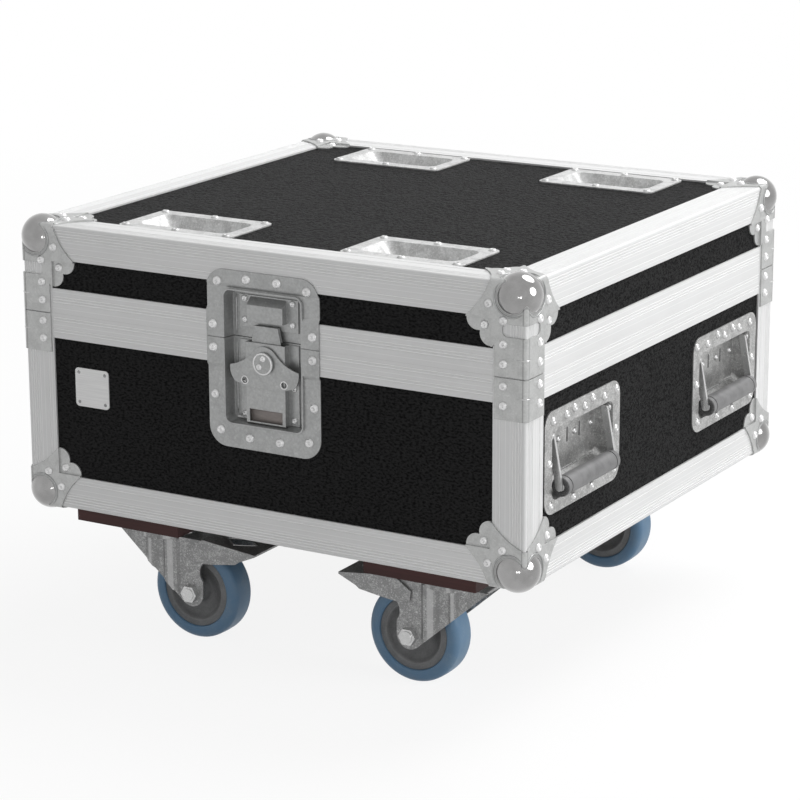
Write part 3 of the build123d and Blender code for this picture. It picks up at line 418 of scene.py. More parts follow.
tyre = {"color": (0.105, 0.215, 0.350), "dull": (0.150, 0.250, 0.365),
        "worn": (0.26, 0.32, 0.39), "scuffed": 0.35, "cloud": (45, 5, 0.6),
        "fine": (650, 3, 0.6), "rough": 0.36, "rougher": 0.2, "bump": (0.25, 0.0006),
        "edge": 0.001}


def blueTyre(w):
    cloud, fine = w.noise(*tyre["cloud"]), w.noise(*tyre["fine"])
    color = cloud.smooth(0.3, 0.75).mixColor(tyre["color"], tyre["dull"])
    scuffed = (cloud * 0.5 + fine * 0.5).smooth(0.54, 0.66) * tyre["scuffed"]
    return {"Base Color": scuffed.mixColor(color, tyre["worn"]),
            "Roughness": cloud * tyre["rougher"] + tyre["rough"],
            "Bump": [(fine * 0.5 + cloud * 0.5, *tyre["bump"])], "Edge": tyre["edge"]}


hubPlastic = {"color": (0.150, 0.152, 0.156), "pale": (0.235, 0.238, 0.240),
              "cloud": (70, 4, 0.65), "fine": (700, 3, 0.6), "rough": 0.45, "rougher": 0.2,
              "bump": (0.3, 0.0004), "edge": 0.0008}


def greyHub(w):
    cloud, fine = w.noise(*hubPlastic["cloud"]), w.noise(*hubPlastic["fine"])
    tone = (cloud * 0.6 + fine * 0.4).smooth(0.3, 0.7)
    return {"Base Color": tone.mixColor(hubPlastic["color"], hubPlastic["pale"]),
            "Roughness": fine * hubPlastic["rougher"] + hubPlastic["rough"],
            "Bump": [(fine, *hubPlastic["bump"])], "Edge": hubPlastic["edge"]}


grip = {"color": (0.125, 0.125, 0.127), "pale": (0.185, 0.185, 0.187), "cloud": (60, 3, 0.6),
        "fine": (1400, 2, 0.5), "rough": 0.36, "rougher": 0.15, "bump": (0.25, 0.0003),
        "edge": 0.0006}


def gripRubber(w):
    cloud, fine = w.noise(*grip["cloud"]), w.noise(*grip["fine"])
    return {"Base Color": cloud.smooth(0.3, 0.7).mixColor(grip["color"], grip["pale"]),
            "Roughness": cloud * grip["rougher"] + grip["rough"],
            "Bump": [(fine, *grip["bump"])], "Edge": grip["edge"]}


# finishes of one grain, in two tones
oneGrain = {
    "rivet": {"grain": (120, 3, 0.6), "tones": ((0.84, 0.84, 0.84), (0.70, 0.70, 0.70)),
              "metal": 0.45, "rough": 0.24, "rougher": 0.1, "bump": (0.1, 0.0003)},
    "gripEndAndSlitShade": {"grain": (900, 3, 0.7), "tones": ((0.035, 0.035, 0.036), (0.12, 0.12, 0.12)),
                   "rough": 0.4, "rougher": 0.3, "bump": (0.6, 0.0005)},
    "barePlate": {"grain": (1200, 2, 0.5), "long": (0.02, 1, 1), "from": 0.3,
                  "tones": ((0.93, 0.93, 0.925), (0.85, 0.85, 0.85)), "metal": 0.1,
                  "rough": 0.35, "rougher": 0.1, "bump": (0.06, 0.0003), "edge": 0.0004},
    "floorPly": {"grain": (35, 4, 0.6), "long": (0.15, 1, 1),
                 "tones": ((0.030, 0.024, 0.020), (0.017, 0.014, 0.012)),
                 "rough": 0.5, "rougher": 0.15, "bump": (0.2, 0.0005), "edge": 0.0006},
    # the strip's brown-grey tones paint the reflection of the case's brownish inside
    "windowReflectionStrip": {"grain": (120, 4, 0.6), "long": (0.3, 1, 1),
                    "tones": ((0.30, 0.265, 0.25), (0.22, 0.195, 0.185)),
                    "metal": 0.2, "rough": 0.45, "bump": (0.1, 0.0004)},
}


def grained(w, look):
    grain = w.noise(*look["grain"], stretch=look.get("long"))
    rough = look["rough"]
    if "rougher" in look:
        rough = grain * look["rougher"] + rough
    return {"Base Color": grain.smooth(look.get("from", 0.35), 0.7).mixColor(*look["tones"]),
            "Metallic": look.get("metal", 0.0), "Roughness": rough,
            "Bump": [(grain, *look["bump"])], "Edge": look.get("edge", softEdge["radius"])}


for build in (blackLaminate, ringEdging, baseBand, lidBand, postAluminium, zincCorner, zincFork,
              stainedPly, blueTyre, greyHub, gripRubber):
    finish(build.__name__, build)
for key in ("latch", "dish", "cup", "castor", "bright"):
    finish("zinc" + key.capitalize(), lambda w: zincSheet(w, zinc[key]))
for name, look in oneGrain.items():
    finish(name, lambda w: grained(w, look))
print("finishes made", len(finishes))

wearing = {
    "blackLaminate": ["base_front_panel", "base_back_panel", "base_side_panels",
                      "lid_front_panel", "lid_back_panel", "lid_side_panels", "lid_top_panel"],
    "floorPly": ["base_floor_panel"],
    "ringEdging": ["base_bottom_edging", "lid_top_edging"],
    "baseBand": ["base_closure"],
    "lidBand": ["lid_closure"],
    "postAluminium": ["base_corner_edging", "lid_corner_edging"],
    "zincCorner": ["base_ball_corners", "lid_ball_corners", "base_corner_braces"],
    "zincLatch": ["latch_base_dish", "latch_lid_dish", "latch_keeper", "latch_mechanism",
                  "latch_hook", "latch_wing", "hinge_base_leaves", "hinge_lid_leaves"],
    "zincDish": ["handle_dishes"],
    "zincCup": ["stacking_cups"],
    "zincBright": ["hinge_pins", "castor_bolts"],
    "zincCastor": ["castor_plates"],
    "zincFork": [],
    "gripRubber": [],
    "stainedPly": ["castor_boards"],
    "barePlate": ["name_plate"],
}
for place in sideOf:
    wearing["zincBright"] += ["handle_bail_" + place, "castor_axle_" + place]
    wearing["zincCastor"] += ["castor_pedal_" + place]
    wearing["zincFork"] += ["castor_fork_" + place]
    wearing["gripRubber"] += ["handle_grip_" + place]
for name, members in wearing.items():
    for node in members:
        mesh = nodes[node].data
        mesh.materials.clear()
        mesh.materials.append(finishes[name])
print("CAD nodes finished")


def makePiece(name, shape, finishName, body):
    points, faces = shape
    mesh = bpy.data.meshes.new(name)
    mesh.from_pydata(points.tolist(), [], faces)
    mesh.polygons.foreach_set("use_smooth", np.ones(len(mesh.polygons), bool))
    mesh.update()
    mesh.materials.append(finishes[finishName])
    made = bpy.data.objects.new(name, mesh)
    bpy.context.scene.collection.objects.link(made)
    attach(made, body)
    return made


def gridFaces(rows, columns, closedRows, closedColumns):
    # quads between neighbours of a rows by columns grid, wrapping where it is closed
    i, j = np.meshgrid(np.arange(rows if closedRows else rows - 1),
                       np.arange(columns if closedColumns else columns - 1), indexing="ij")
    i, j = i.ravel(), j.ravel()
    nextI, nextJ = (i + 1) % rows, (j + 1) % columns
    return np.stack([i * columns + j, i * columns + nextJ, nextI * columns + nextJ,
                     nextI * columns + j], -1).tolist()


def spun(profile, around):
    # (radius, height) pairs turned about z: x = r cos a, y = r sin a. Where the first and last
    # radius are zero both ends close at a pole, else the profile is a closed loop
    profile = np.array(profile, float)
    poles = profile[0, 0] == 0
    rings = profile[1:-1] if poles else profile
    angle = np.arange(around) * 2 * math.pi / around
    points = np.stack([np.outer(rings[:, 0], np.cos(angle)), np.outer(rings[:, 0], np.sin(angle)),
                       np.repeat(rings[:, 1:2], around, 1)], -1).reshape(-1, 3)
    faces = gridFaces(len(rings), around, not poles, True)
    if poles:
        points = np.vstack([points, [[0, 0, profile[0, 1]], [0, 0, profile[-1, 1]]]])
        first, low = len(points) - 2, (len(rings) - 1) * around
        ring = np.arange(around)
        after = (ring + 1) % around
        faces += np.stack([np.full(around, first), after, ring], -1).tolist()
        faces += np.stack([np.full(around, first + 1), low + ring, low + after], -1).tolist()
    # the profile runs from the top down, so the faces are turned to point out
    return points, [face[::-1] for face in faces]


def swept(path, side, up, profile, sizes=None, closed=False):
    # a closed profile (a, b) carried along a path: point = path + size * (a * side + b * up)
    path, side, up, profile = (np.array(v, float) for v in (path, side, up, profile))
    side, up = np.broadcast_to(side, path.shape), np.broadcast_to(up, path.shape)
    sizes = np.ones(len(path)) if sizes is None else np.array(sizes, float)
    offset = profile[None, :, :1] * side[:, None] + profile[None, :, 1:] * up[:, None]
    points = (path[:, None] + offset * sizes[:, None, None]).reshape(-1, 3)
    count = len(profile)
    faces = gridFaces(len(path), count, closed, True)
    if not closed:
        faces += [list(range(count))[::-1], list(range(len(points) - count, len(points)))]
    return points, faces


def wireProfile(radius, count):
    # a circle: a = r cos t, b = r sin t
    turn = np.arange(count) * 2 * math.pi / count
    return np.stack([np.cos(turn), np.sin(turn)], -1) * radius


def ringShape(radius, wire, around=40, count=10):
    # a torus: a circle of the wire's radius turned about z
    return spun(wireProfile(wire, count) + (radius, 0), around)


def bar(low, high):
    # a slab with softened edges: four outlines of eight corners, the end ones drawn in, and
    # each edge softened by 0.3 of the slab's thickness
    (x0, y0, z0), (x1, y1, z1) = low, high
    soft = min(x1 - x0, y1 - y0, z1 - z0) * 0.3
    xs = [x0, x0 + soft, x1 - soft, x1]
    ys = [y0, y0 + soft, y1 - soft, y1]
    around = [(1, 0), (2, 0), (3, 1), (3, 2), (2, 3), (1, 3), (0, 2), (0, 1)]
    outline = np.array([(xs[i], ys[j]) for i, j in around])
    middle = outline.mean(0)
    shrunk = middle + (outline - middle) * (1 - 2 * soft / np.array([x1 - x0, y1 - y0]))
    layers = [(shrunk, z0), (outline, z0 + soft), (outline, z1 - soft), (shrunk, z1)]
    points = np.vstack([np.column_stack([flat, np.full(8, z)]) for flat, z in layers])
    faces = gridFaces(4, 8, False, True)
    faces += [list(range(8))[::-1], list(range(24, 32))]
    return points, faces


def joined(shapes):
    # several shapes in one mesh
    points, faces, start = [], [], 0
    for somePoints, someFaces in shapes:
        points.append(somePoints)
        faces += [[index + start for index in face] for face in someFaces]
        start += len(somePoints)
    return np.vstack(points), faces


def outward(shape):
    # normals made consistent and pointing out, for shapes that a mirror or a path turned over
    points, faces = shape
    mesh = bpy.data.meshes.new("turned")
    mesh.from_pydata(points.tolist(), [], faces)
    work = bmesh.new()
    work.from_mesh(mesh)
    bmesh.ops.recalc_face_normals(work, faces=work.faces)
    turned = [[vertex.index for vertex in face.verts] for face in work.faces]
    work.free()
    bpy.data.meshes.remove(mesh)
    return points, turned


def mirrorImages(shape, flipY=True):
    # the shape and its images in the left-right plane and the front-back plane
    result = [shape]
    result += [(points * (-1, 1, 1), faces) for points, faces in result]
    if flipY:
        result += [(points * (1, -1, 1), faces) for points, faces in result]
    return outward(joined(result))


def mirroredSpots(spots, flipY=True):
    # (place, normal) pairs and their images in the same planes
    result = list(spots)
    result += [((-x, y, z), (-a, b, c)) for (x, y, z), (a, b, c) in result]
    if flipY:
        result += [((x, -y, z), (a, -b, c)) for (x, y, z), (a, b, c) in result]
    return result


def scattered(shape, spots):
    # copies of one shape: point = spot + x * side + y * up + z * out, out being the normal
    points, faces = shape
    result = []
    for spot, out in spots:
        out = np.array(out, float)
        side = np.cross((0, 0, 1.0), out) if abs(out[2]) < 0.9 else np.array((1.0, 0, 0))
        up = np.cross(out, side)
        turned = points[:, :1] * side + points[:, 1:2] * up + points[:, 2:] * out
        result.append((turned + np.array(spot, float), faces))
    return joined(result)


front, right, up, down, back = (0, -1, 0), (1, 0, 0), (0, 0, 1), (0, 0, -1), (0, 1, 0)
# the radius and height of each kind of head
rivets = {"corner": (0.0043, 0.0024), "latch": (0.0047, 0.0027), "small": (0.0034, 0.0017),
          "handle": (0.0042, 0.0021), "cup": (0.0043, 0.0019), "hinge": (0.0036, 0.0017),
          "screw": (0.0017, 0.0008)}
# a mushroom head with the mandrel's pin in its dimple, whose dome falls off to a thin rim, as
# shares of its radius and height
rivetHead = {"profile": [(0, 0.66), (0.13, 0.65), (0.18, 0.36), (0.28, 0.34), (0.38, 0.82),
                         (0.50, 1.0), (0.62, 0.96), (0.78, 0.70), (0.88, 0.36), (1.0, 0.14),
                         (0.985, -0.25), (0, -0.25)], "around": 18}


def rivetShape(radius, high):
    return spun([(r * radius, z * high) for r, z in rivetHead["profile"]], rivetHead["around"])


def rivetSet(name, kind, spots, body, finishName="rivet"):
    makePiece(name, scattered(rivetShape(*rivets[kind]), spots), finishName, body)


# corner rivets as (in from the upright edge, in from the top or bottom edge, seat's height);
# the braces' rivets lie one below the other, under the case's top and under the lid line
cornerRivets = {"plates": [(0.0380, 0.0215, corner["sheet"]), (0.0428, 0.0418, -0.0004),
                           (0.0228, 0.0358, corner["sheet"])],
                "braceIn": 0.0228, "underTop": (0.0575, 0.0757), "underSplit": (0.0084, 0.0264)}


def cornerSpots(level, way, facing, braceHeights):
    # level is the case's top or floor, way leads from it into the case, facing out of it
    spots = []
    for across, along, seat in cornerRivets["plates"]:
        spots += [((halfX - across, -halfY - seat, level + way * along), front),
                  ((halfX + seat, -halfY + across, level + way * along), right),
                  ((halfX - across, -halfY + along, level - way * seat), facing)]
    across, seat = cornerRivets["braceIn"], corner["sheet"]
    for height in braceHeights:
        spots += [((halfX - across, -halfY - seat, height), front),
                  ((halfX + seat, -halfY + across, height), right)]
    return mirroredSpots(spots)


rivetSet("cornerRivetsLid", "corner", cornerSpots(
    caseTop, -1, up, [caseTop - drop for drop in cornerRivets["underTop"]]), "case_lid")
rivetSet("cornerRivetsBase", "corner", cornerSpots(
    caseFloor, 1, down, [splitZ - drop for drop in cornerRivets["underSplit"]]), "case_base")

# a raised ring runs round each ball on the three plates of its corner, fading out at the edges
ballRing = {"radius": 0.0176, "wire": 0.0010, "proud": 0.0001, "from": -48, "to": 138,
            "steps": 40, "fade": 7}


def ballRings(level, way):
    # an arc on each plate: across = inset + r cos t, along = inset + r sin t
    steps = np.arange(ballRing["steps"])
    turn = np.radians(np.linspace(ballRing["from"], ballRing["to"], len(steps)))
    fade = np.minimum(1, np.minimum(steps, steps[::-1]) / ballRing["fade"] + 0.1)
    outX, outY = np.cos(turn), np.sin(turn)
    across = corner["inset"] + ballRing["radius"] * outX
    along = corner["inset"] + ballRing["radius"] * outY
    flat = np.zeros_like(turn)
    proud = corner["sheet"] + ballRing["proud"]
    frontArc = ((halfX - across, flat - halfY - proud, level + way * along),
                (-outX, flat, way * outY), front)
    sideArc = ((flat + halfX + proud, -halfY + across, level + way * along),
               (flat, outX, way * outY), right)
    endArc = ((halfX - across, -halfY + along, flat + level - way * proud),
              (-outX, outY, flat), (0, 0, -way))
    rings = [swept(np.stack(path, -1), np.stack(side, -1), normal,
                   wireProfile(ballRing["wire"], 8), fade)
             for path, side, normal in (frontArc, sideArc, endArc)]
    return mirrorImages(joined(rings))


makePiece("ballRingsLid", ballRings(caseTop, -1), "zincLatch", "case_lid")
makePiece("ballRingsBase", ballRings(caseFloor, 1), "zincLatch", "case_base")

# small pressed ribs across the bend of each brace, one above and one below the lid line
braceRib = {"wire": 0.0006, "reach": 0.0085, "above": 0.0176, "below": 0.0180, "bend": 0.0041}


def braceRibs(height):
    # straight, a quarter turn round the bend, straight: all at one height
    bend, reach, sheet = braceRib["bend"], braceRib["reach"], corner["sheet"]
    turn = np.radians(np.linspace(0, 90, 9))
    runX = np.concatenate([[reach], bend - sheet - bend * np.sin(turn), [-sheet]])
    runY = np.concatenate([[-sheet], bend - sheet - bend * np.cos(turn), [reach]])
    outX = np.concatenate([[0], np.sin(turn), [1]])
    outY = np.concatenate([[1], np.cos(turn), [0]])
    path = np.stack([halfX - runX, -halfY + runY, np.full_like(runX, height)], -1)
    side = np.stack([outX, -outY, 0 * outX], -1)
    sizes = np.concatenate([[0.3], np.ones(9), [0.3]])
    return mirrorImages(swept(path, side, up, wireProfile(braceRib["wire"], 8), sizes))


makePiece("braceRibsLid", braceRibs(splitZ + braceRib["above"]), "zincBright", "case_lid")
makePiece("braceRibsBase", braceRibs(splitZ - braceRib["below"]), "zincBright", "case_base")
print("corner details made")

# latch rivets as (x, height from the lid line, depth behind the front face)
latchRivets = {
    "lid": [(0.017, 0.0590, -0.0015), (0.0498, 0.0547, -0.0015), (0.0556, 0.0124, -0.0015)],
    "base": [(0.0556, -0.0102, -0.0015), (0.0556, -0.0568, 0.0005), (0.0498, -0.0913, 0.0005),
             (0.017, -0.0959, 0.0005)],
    "keeper": [(0.0268, 0.0381, 0.0105), (0.0268, 0.0175, 0.0105)],
    "works": [(0.0277, -0.0751, 0.0105), (0.0277, -0.0438, 0.0105)],
}
for name, key, kind, body in (("latchRivetsLid", "lid", "latch", "case_lid"),
                              ("latchRivetsBase", "base", "latch", "case_base"),
                              ("keeperRivets", "keeper", "small", "case_lid"),
                              ("latchWorkRivets", "works", "small", "case_base")):
    spots = [((x, -halfY + depth, splitZ + z), front) for x, z, depth in latchRivets[key]]
    rivetSet(name, kind, mirroredSpots(spots, flipY=False), body)

# two riveted pins, as (x, height from the hub), and a rolled rim on the hub's head
hub = {"drop": 0.0205, "rim": 0.0100, "rimWire": 0.0009, "rimProud": 0.0002,
       "pin": 0.0031, "pinHigh": 0.0015, "pins": ((0.0005, 0.0052), (-0.0040, -0.0032))}
hubZ = splitZ - hub["drop"]
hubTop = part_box("latch_mechanism")[0].y
hubParts = [scattered(ringShape(hub["rim"], hub["rimWire"]),
                      [((0, hubTop + hub["rimProud"], hubZ), front)])]
for x, z in hub["pins"]:
    hubParts.append(scattered(rivetShape(hub["pin"], hub["pinHigh"]),
                              [((x, hubTop, hubZ + z), front)]))
makePiece("hubPins", outward(joined(hubParts)), "rivet", "case_base")

# rolled eyelets round the wing's two holes
eyelet = {"x": 0.022, "drop": 0.0185, "radius": 0.0036, "wire": 0.0006}
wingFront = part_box("latch_wing")[0].y
spots = [((x, wingFront, hubZ - eyelet["drop"]), front) for x in (-eyelet["x"], eyelet["x"])]
eyelets = scattered(ringShape(eyelet["radius"], eyelet["wire"]), spots)
makePiece("wingEyelets", outward(eyelets), "rivet", "wing")

# a brown-grey strip behind the window in the latch's cover, a painted reflection of the case's
# brownish inside
window = {"half": 0.0203, "low": -0.0800, "high": -0.0640, "near": 0.0060, "far": 0.0066}
strip = bar((-window["half"], -halfY + window["near"], splitZ + window["low"]),
            (window["half"], -halfY + window["far"], splitZ + window["high"]))
makePiece("windowReflectionStrip", outward(strip), "windowReflectionStrip", "case_base")

# beads down both sides of the latch's dish, as wires that taper at both ends
taper = [0.2, 0.8] + [1] * 8 + [0.8, 0.2]
bead = {"x": 0.0372, "wire": 0.0011, "floor": 0.0120, "lid": (0.0030, 0.0405),
        "base": (-0.0760, -0.0030)}


def dishBeads(key):
    height = np.linspace(*bead[key], len(taper))
    path = np.stack([height * 0 + bead["x"], height * 0 - halfY + bead["floor"],
                     splitZ + height], -1)
    shape = swept(path, (1, 0, 0), (0, 1, 0), wireProfile(bead["wire"], 10), taper)
    return mirrorImages(shape, flipY=False)


makePiece("dishBeadsLid", dishBeads("lid"), "zincLatch", "case_lid")
makePiece("dishBeadsBase", dishBeads("base"), "zincLatch", "case_base")

# the hook's return spring lies in the lower left of the dish: x goes along, y and z go round
spring = {"from": -0.0350, "to": -0.0245, "radius": 0.0016, "wire": 0.0004, "turns": 8,
          "steps": 14, "deep": 0.0088, "drop": 0.0780}
turn = np.linspace(0, spring["turns"] * 2 * math.pi, spring["turns"] * spring["steps"])
out = np.stack([0 * turn, np.cos(turn), np.sin(turn)], -1)
axis = np.stack([np.linspace(spring["from"], spring["to"], len(turn)),
                 0 * turn - halfY + spring["deep"], 0 * turn + splitZ - spring["drop"]], -1)
coiled = swept(out * spring["radius"] + axis, out, (1, 0, 0), wireProfile(spring["wire"], 6))
makePiece("latchSpring", outward(coiled), "zincBright", "case_base")
print("latch details made")

# rivets of the handle dishes, the painted shade of their slits and the painted highlights along
# their creases: y is counted from the handle's middle, heights from the case floor, and depths
# from the side face
handle = {
    "y": 0.160, "sunk": 0.0005,
    "flange": [(-0.0607, 0.1477), (-0.0336, 0.1479), (-0.0176, 0.1507), (0.0027, 0.1473),
               (0.0193, 0.1515), (0.0438, 0.1470), (0.0692, 0.1486), (-0.0678, 0.1081),
               (-0.0650, 0.0678), (-0.0194, 0.0656), (0.0183, 0.0661), (0.0649, 0.0702),
               (0.0686, 0.1095)],
    "inner": [-0.050, -0.0165, 0.0165, 0.050], "innerZ": 0.1176, "bed": 0.0184,
    "slits": [-0.027, 0.002, 0.027], "slitHalf": 0.0011, "slitLow": 0.1105, "slitHigh": 0.1246,
    "slitSunk": 0.0004, "slitProud": 0.0003,
    "creaseZ": 0.0868, "creaseHalf": 0.0570, "creaseWire": 0.0007, "creaseProud": 0.0002,
}
bedX = halfX - handle["bed"]
spots = [((halfX - handle["sunk"], -handle["y"] + y, caseFloor + z), right)
         for y, z in handle["flange"]]
rivetSet("handleRivets", "handle", mirroredSpots(spots), "case_base", "zincBright")
spots = [((bedX, -handle["y"] + y, caseFloor + handle["innerZ"]), right)
         for y in handle["inner"]]
rivetSet("handleInnerRivets", "small", mirroredSpots(spots), "case_base", "zincBright")
# each slit is a dark bar on the dish's back, painted shade of the opening
slits = [bar((bedX - handle["slitSunk"], -handle["y"] + y - handle["slitHalf"],
              caseFloor + handle["slitLow"]),
             (bedX + handle["slitProud"], -handle["y"] + y + handle["slitHalf"],
              caseFloor + handle["slitHigh"]))
         for y in handle["slits"]]
makePiece("handleSlitShades", mirrorImages(joined(slits)), "gripEndAndSlitShade", "case_base")

# a thin bright rod along the crease at the foot of each dish's back, a painted highlight of the
# bend
along = np.linspace(-1, 1, len(taper)) * handle["creaseHalf"]
path = np.stack([0 * along + bedX + handle["creaseProud"], -handle["y"] + along,
                 0 * along + caseFloor + handle["creaseZ"]], -1)
shape = swept(path, (1, 0, 0), (0, 0, 1), wireProfile(handle["creaseWire"], 8), taper)
makePiece("dishCreaseHighlights", mirrorImages(shape), "zincBright", "case_base")

# a pressed cap on each end of the grip, as (radius, height) pairs
gripCap = {"profile": [(0.0042, 0.0), (0.0089, 0.0), (0.0091, -0.0004), (0.0089, -0.0010),
                       (0.0044, -0.0010)], "gap": 0.0002, "around": 32}
for place in sideOf:
    low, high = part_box("handle_grip_" + place)
    x, y, z = [(low[i] + high[i]) / 2 for i in range(3)]
    reach = (high.y - low.y) / 2 + gripCap["gap"]
    ends = scattered(spun(gripCap["profile"], gripCap["around"]),
                     [((x, y + way * reach, z), (0, way, 0)) for way in (-1, 1)])
    makePiece("gripEnds_" + place, outward(ends), "gripEndAndSlitShade", "bail_" + place)

# a coil on each pivot: the wire's middle goes round in x and z, and out along y
coil = {"radius": 0.0036, "wire": 0.0006, "turns": 3.5, "from": 0.0572, "to": 0.0604,
        "steps": 90, "deep": 0.0055, "z": 0.132}
turn = np.linspace(0, coil["turns"] * 2 * math.pi, coil["steps"])
out = np.stack([np.cos(turn), 0 * turn, np.sin(turn)], -1)
coils = []
for way in (-1, 1):
    axis = np.stack([0 * turn + halfX - coil["deep"],
                     -handle["y"] + way * np.linspace(coil["from"], coil["to"], coil["steps"]),
                     0 * turn + caseFloor + coil["z"]], -1)
    coils.append(swept(out * coil["radius"] + axis, out, (0, 1, 0),
                       wireProfile(coil["wire"], 8)))
makePiece("pivotCoils", mirrorImages(joined(coils)), "zincBright", "case_base")
print("handle details made")

# six rivets round each stacking cup, counted from the cup's middle
cup = {"x": 0.1265, "y": 0.199, "along": (-0.0588, 0, 0.0588), "across": (-0.0340, 0.0340),
       "sunk": 0.0005}
spots = [((sx * cup["x"] + x, sy * cup["y"] + y, caseTop - cup["sunk"]), up)
         for sx, sy in sideOf.values() for x in cup["along"] for y in cup["across"]]
rivetSet("cupRivets", "cup", spots, "case_lid", "zincCup")

nameScrew = {"in": 0.0045}
low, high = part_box("name_plate")
spots = [((x, low.y, z), front) for x in (low.x + nameScrew["in"], high.x - nameScrew["in"])
         for z in (low.z + nameScrew["in"], high.z - nameScrew["in"])]
rivetSet("plateScrews", "screw", spots, "case_base", "zincCastor")

hinge = {"half": 0.035, "across": (-0.025, 0, 0.025), "proud": 0.0015, "rise": 0.0155}
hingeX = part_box("hinge_lid_leaves")[1].x - hinge["half"]
for key, body, way in (("Lid", "case_lid", 1), ("Base", "case_base", -1)):
    spots = [((hingeX + x, halfY + hinge["proud"], splitZ + way * hinge["rise"]), back)
             for x in hinge["across"]]
    rivetSet("hingeRivets" + key, "hinge", mirroredSpots(spots, flipY=False), body)
print("lid and hinge rivets made")

# wheels: the tyre's crown and shoulders are one smooth curve, the hub is recessed round its boss
wheel = {"rim": 0.0370, "radius": 0.0500, "side": 0.0155, "shoulder": 0.0078, "flat": 0.85,
         "crown": 0.0003, "bore": 0.0055, "boss": 0.0118, "bossSide": 0.0190, "deep": 0.0048,
         "dished": 0.0205, "face": 0.0138, "lip": 0.0306, "around": 96}


def bothSides(half, middle=()):
    # one side's outline, what lies between, and the outline again on the other side
    return half + list(middle) + [(r, -y) for r, y in reversed(half)]


def tyreProfile():
    # flat side, a quarter ellipse over the shoulder, and a low crown in the middle
    turn = np.radians(np.linspace(0, 90, 9))
    rim, side, deep = wheel["rim"], wheel["side"], wheel["shoulder"]
    wide = deep * wheel["flat"]
    radius = wheel["radius"] - wheel["crown"] - deep + deep * np.sin(turn)
    across = side - wide + wide * np.cos(turn)
    half = [(rim, side - 0.0013), (rim + 0.0012, side - 0.0002), (rim + 0.0022, side)]
    return bothSides(half + list(zip(radius, across)), [(wheel["radius"], 0.0)])


def hubProfile():
    # bore edge, boss, recess floor, lip and rim, then the same on the other side
    boss, bossSide, deep = wheel["boss"], wheel["bossSide"], wheel["deep"]
    dished, lip, rim, side = wheel["dished"], wheel["lip"], wheel["rim"], wheel["face"]
    return bothSides([
        (wheel["bore"], bossSide), (boss - 0.0012, bossSide), (boss, bossSide - 0.0012),
        (boss + 0.0006, deep + 0.0012), (boss + 0.0022, deep),
        (dished, deep), (dished + 0.0013, deep + 0.0012), (dished + 0.0040, deep + 0.0016),
        (lip - 0.0024, side - 0.0028), (lip - 0.0010, side - 0.0004), (lip, side + 0.0004),
        (lip + 0.0012, side + 0.0002), (lip + 0.0020, side - 0.0005), (rim - 0.0007, side),
        (rim, side - 0.0006)])


for place in sideOf:
    low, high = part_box("castor_tyre_" + place)
    centre = [(low[i] + high[i]) / 2 for i in range(3)]
    for key, profile, look, slot in (("tyre", tyreProfile(), "blueTyre", "blue_tyre"),
                                     ("hub", hubProfile(), "greyHub", "grey_hub")):
        turned = scattered(spun(profile, wheel["around"]), [(centre, back)])
        made = makePiece("wheel_" + key + "_" + place, outward(turned), look,
                         "wheel_" + place)
        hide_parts("castor_" + key + "_" + place)
print("wheels made")

# a rolled rim round the diamond opening in each pedal: the opening's middle lies half way
# between start and end from the wheel's middle, and the pedal falls evenly between them
pedal = {"start": 0.016, "end": 0.078, "long": 0.0182, "wide": 0.0142, "fall": 0.0065,
         "wire": 0.0008, "steps": 40}
long, wide = pedal["long"], pedal["wide"]
corners = np.array([(-long, 0), (0, -wide), (long, 0), (0, wide), (-long, 0)])
share = np.linspace(0, 4, pedal["steps"] + 1)[:-1]
x, y = (np.interp(share, np.arange(5), corners[:, i]) for i in (0, 1))
middle = (pedal["start"] + pedal["end"]) / 2
slope = pedal["fall"] / (pedal["end"] - pedal["start"])
out = np.stack([x, y, 0 * x], -1)
out /= np.linalg.norm(out, axis=1)[:, None]
for place, (sx, sy) in sideOf.items():
    low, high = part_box("castor_pedal_" + place)
    tyreLow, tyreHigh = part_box("castor_tyre_" + place)
    path = np.stack([(tyreLow.x + tyreHigh.x) / 2 - sx * (middle + x), y + (low.y + high.y) / 2,
                     high.z - slope * (middle + x - pedal["start"])], -1)
    rim = swept(path, out * (-sx, 1, 1), up, wireProfile(pedal["wire"], 8), closed=True)
    makePiece("pedalRim_" + place, outward(rim), "zincBright", "pedal_" + place)
print("pedals made")

view = {"x": 1.4469, "y": -2.4751, "z": 0.9951, "turn": 30.468, "pitch": 15.217, "roll": 0.243,
        "lens": 129.78, "sensor": 36}
cameraData = bpy.data.cameras.new("camera")
cameraData.lens = view["lens"]
cameraData.sensor_width = view["sensor"]
camera = bpy.data.objects.new("camera", cameraData)
camera.location = (view["x"], view["y"], view["z"])
camera.rotation_euler = [math.radians(angle)
                         for angle in (90 - view["pitch"], view["roll"], view["turn"])]
bpy.context.scene.collection.objects.link(camera)
bpy.context.scene.camera = camera

# round lamps: place, what they aim at, size in metres and power in watts
lamps = {
    "topLamp": ((0.9, 1.7, 3.2), (0, 0, 0.3), 2.4, 96),
    "sideLamp": ((3.4, 0.3, 1.5), (0, 0, 0.25), 2.0, 56),
    "frontLampLeft": ((1.75, -4.0, 0.45), (0, 0, 0.25), 0.35, 4),
    "frontLampRight": ((2.35, -3.6, 0.45), (0, 0, 0.25), 0.35, 4),
}
for name, (spot, aim, size, power) in lamps.items():
    data = bpy.data.lights.new(name, "AREA")
    data.shape = "DISK"
    data.size = size
    data.energy = power
    lamp = bpy.data.objects.new(name, data)
    lamp.location = spot
    dx, dy, dz = np.array(aim, float) - np.array(spot, float)
    lamp.rotation_euler = (math.atan2(math.hypot(dx, dy), -dz), 0,
                           math.atan2(dy, dx) - math.pi / 2)
    bpy.context.scene.collection.objects.link(lamp)

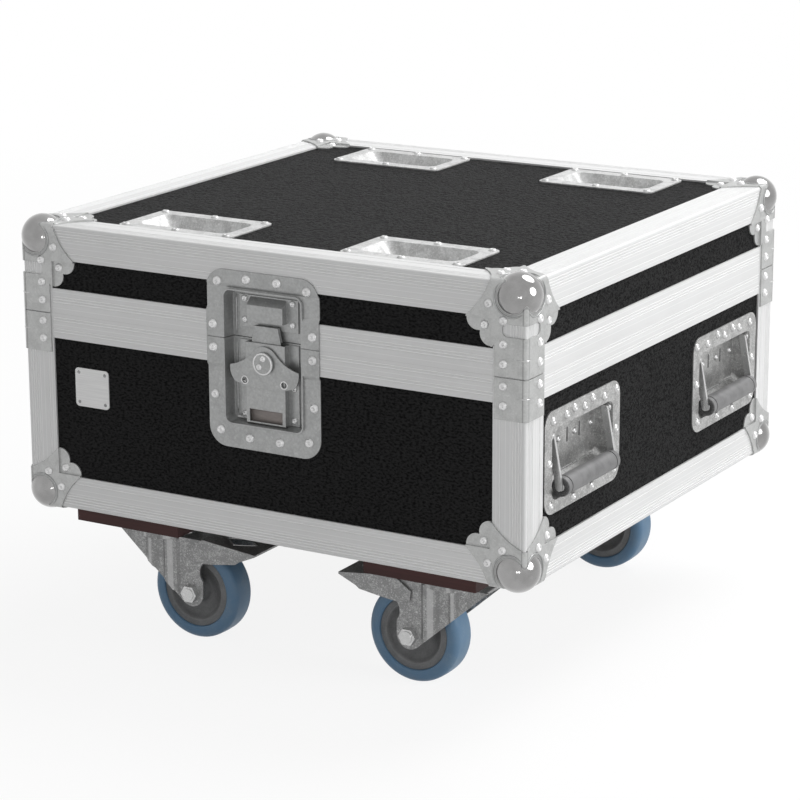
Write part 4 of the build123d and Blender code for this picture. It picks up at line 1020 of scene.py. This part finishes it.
# the floor shows white far away and a little shade near by, and lights the case as grey
studio = {"world": 0.38, "floor": (0.60, 0.60, 0.60), "floorSeen": (0.95, 0.95, 0.95),
          "floorShow": 0.88, "fadeFrom": 1.0, "fadeTo": 3.0, "reach": 14.0}


def background(w):
    # 1 for what the camera, a mirror or glass sees, 0 for the light itself
    rays = w.node("ShaderNodeLightPath",
                  out=("Is Camera Ray", "Is Glossy Ray", "Is Transmission Ray"))
    return (rays[0] + rays[1] + rays[2]).clamp()


world = bpy.data.worlds.new("studio")
bpy.context.scene.world = world
world.use_nodes = True
world.node_tree.nodes.clear()
w = Wire(world.node_tree)
seen = background(w)
sky = w.node("ShaderNodeBackground", {}, {"Color": (1, 1, 1, 1),
                                          "Strength": seen + (1 - seen) * studio["world"]})
w.node("ShaderNodeOutputWorld", {}, {"Surface": sky})

floorMaterial = bpy.data.materials.new("studioFloor")
floorMaterial.use_nodes = True
floorMaterial.node_tree.nodes.clear()
w = Wire(floorMaterial.node_tree)
pale = background(w).mixColor(studio["floor"], studio["floorSeen"])
diffuse = w.node("ShaderNodeBsdfDiffuse", {}, {"Color": pale})
glow = w.node("ShaderNodeEmission", {}, {"Color": (1, 1, 1, 1), "Strength": 1.0})
x, y = w.parts()[:2]
faraway = (x * x + y * y).math("SQRT").smooth(studio["fadeFrom"], studio["fadeTo"])
shown = faraway * (1 - studio["floorShow"]) + studio["floorShow"]
mixed = w.node("ShaderNodeMixShader", {}, {0: background(w) * shown, 1: diffuse, 2: glow})
w.node("ShaderNodeOutputMaterial", {}, {"Surface": mixed})
floorMesh = bpy.data.meshes.new("studioFloor")
reach = studio["reach"]
floorMesh.from_pydata([(-reach, -reach, 0), (reach, -reach, 0), (reach, reach, 0),
                       (-reach, reach, 0)], [], [(0, 1, 2, 3)])
floorMesh.materials.append(floorMaterial)
floor = bpy.data.objects.new("studioFloor", floorMesh)
bpy.context.scene.collection.objects.link(floor)
floor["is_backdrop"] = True
bpy.context.scene.view_settings.view_transform = "Standard"
print("camera, lamps and floor ready")

low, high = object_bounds()
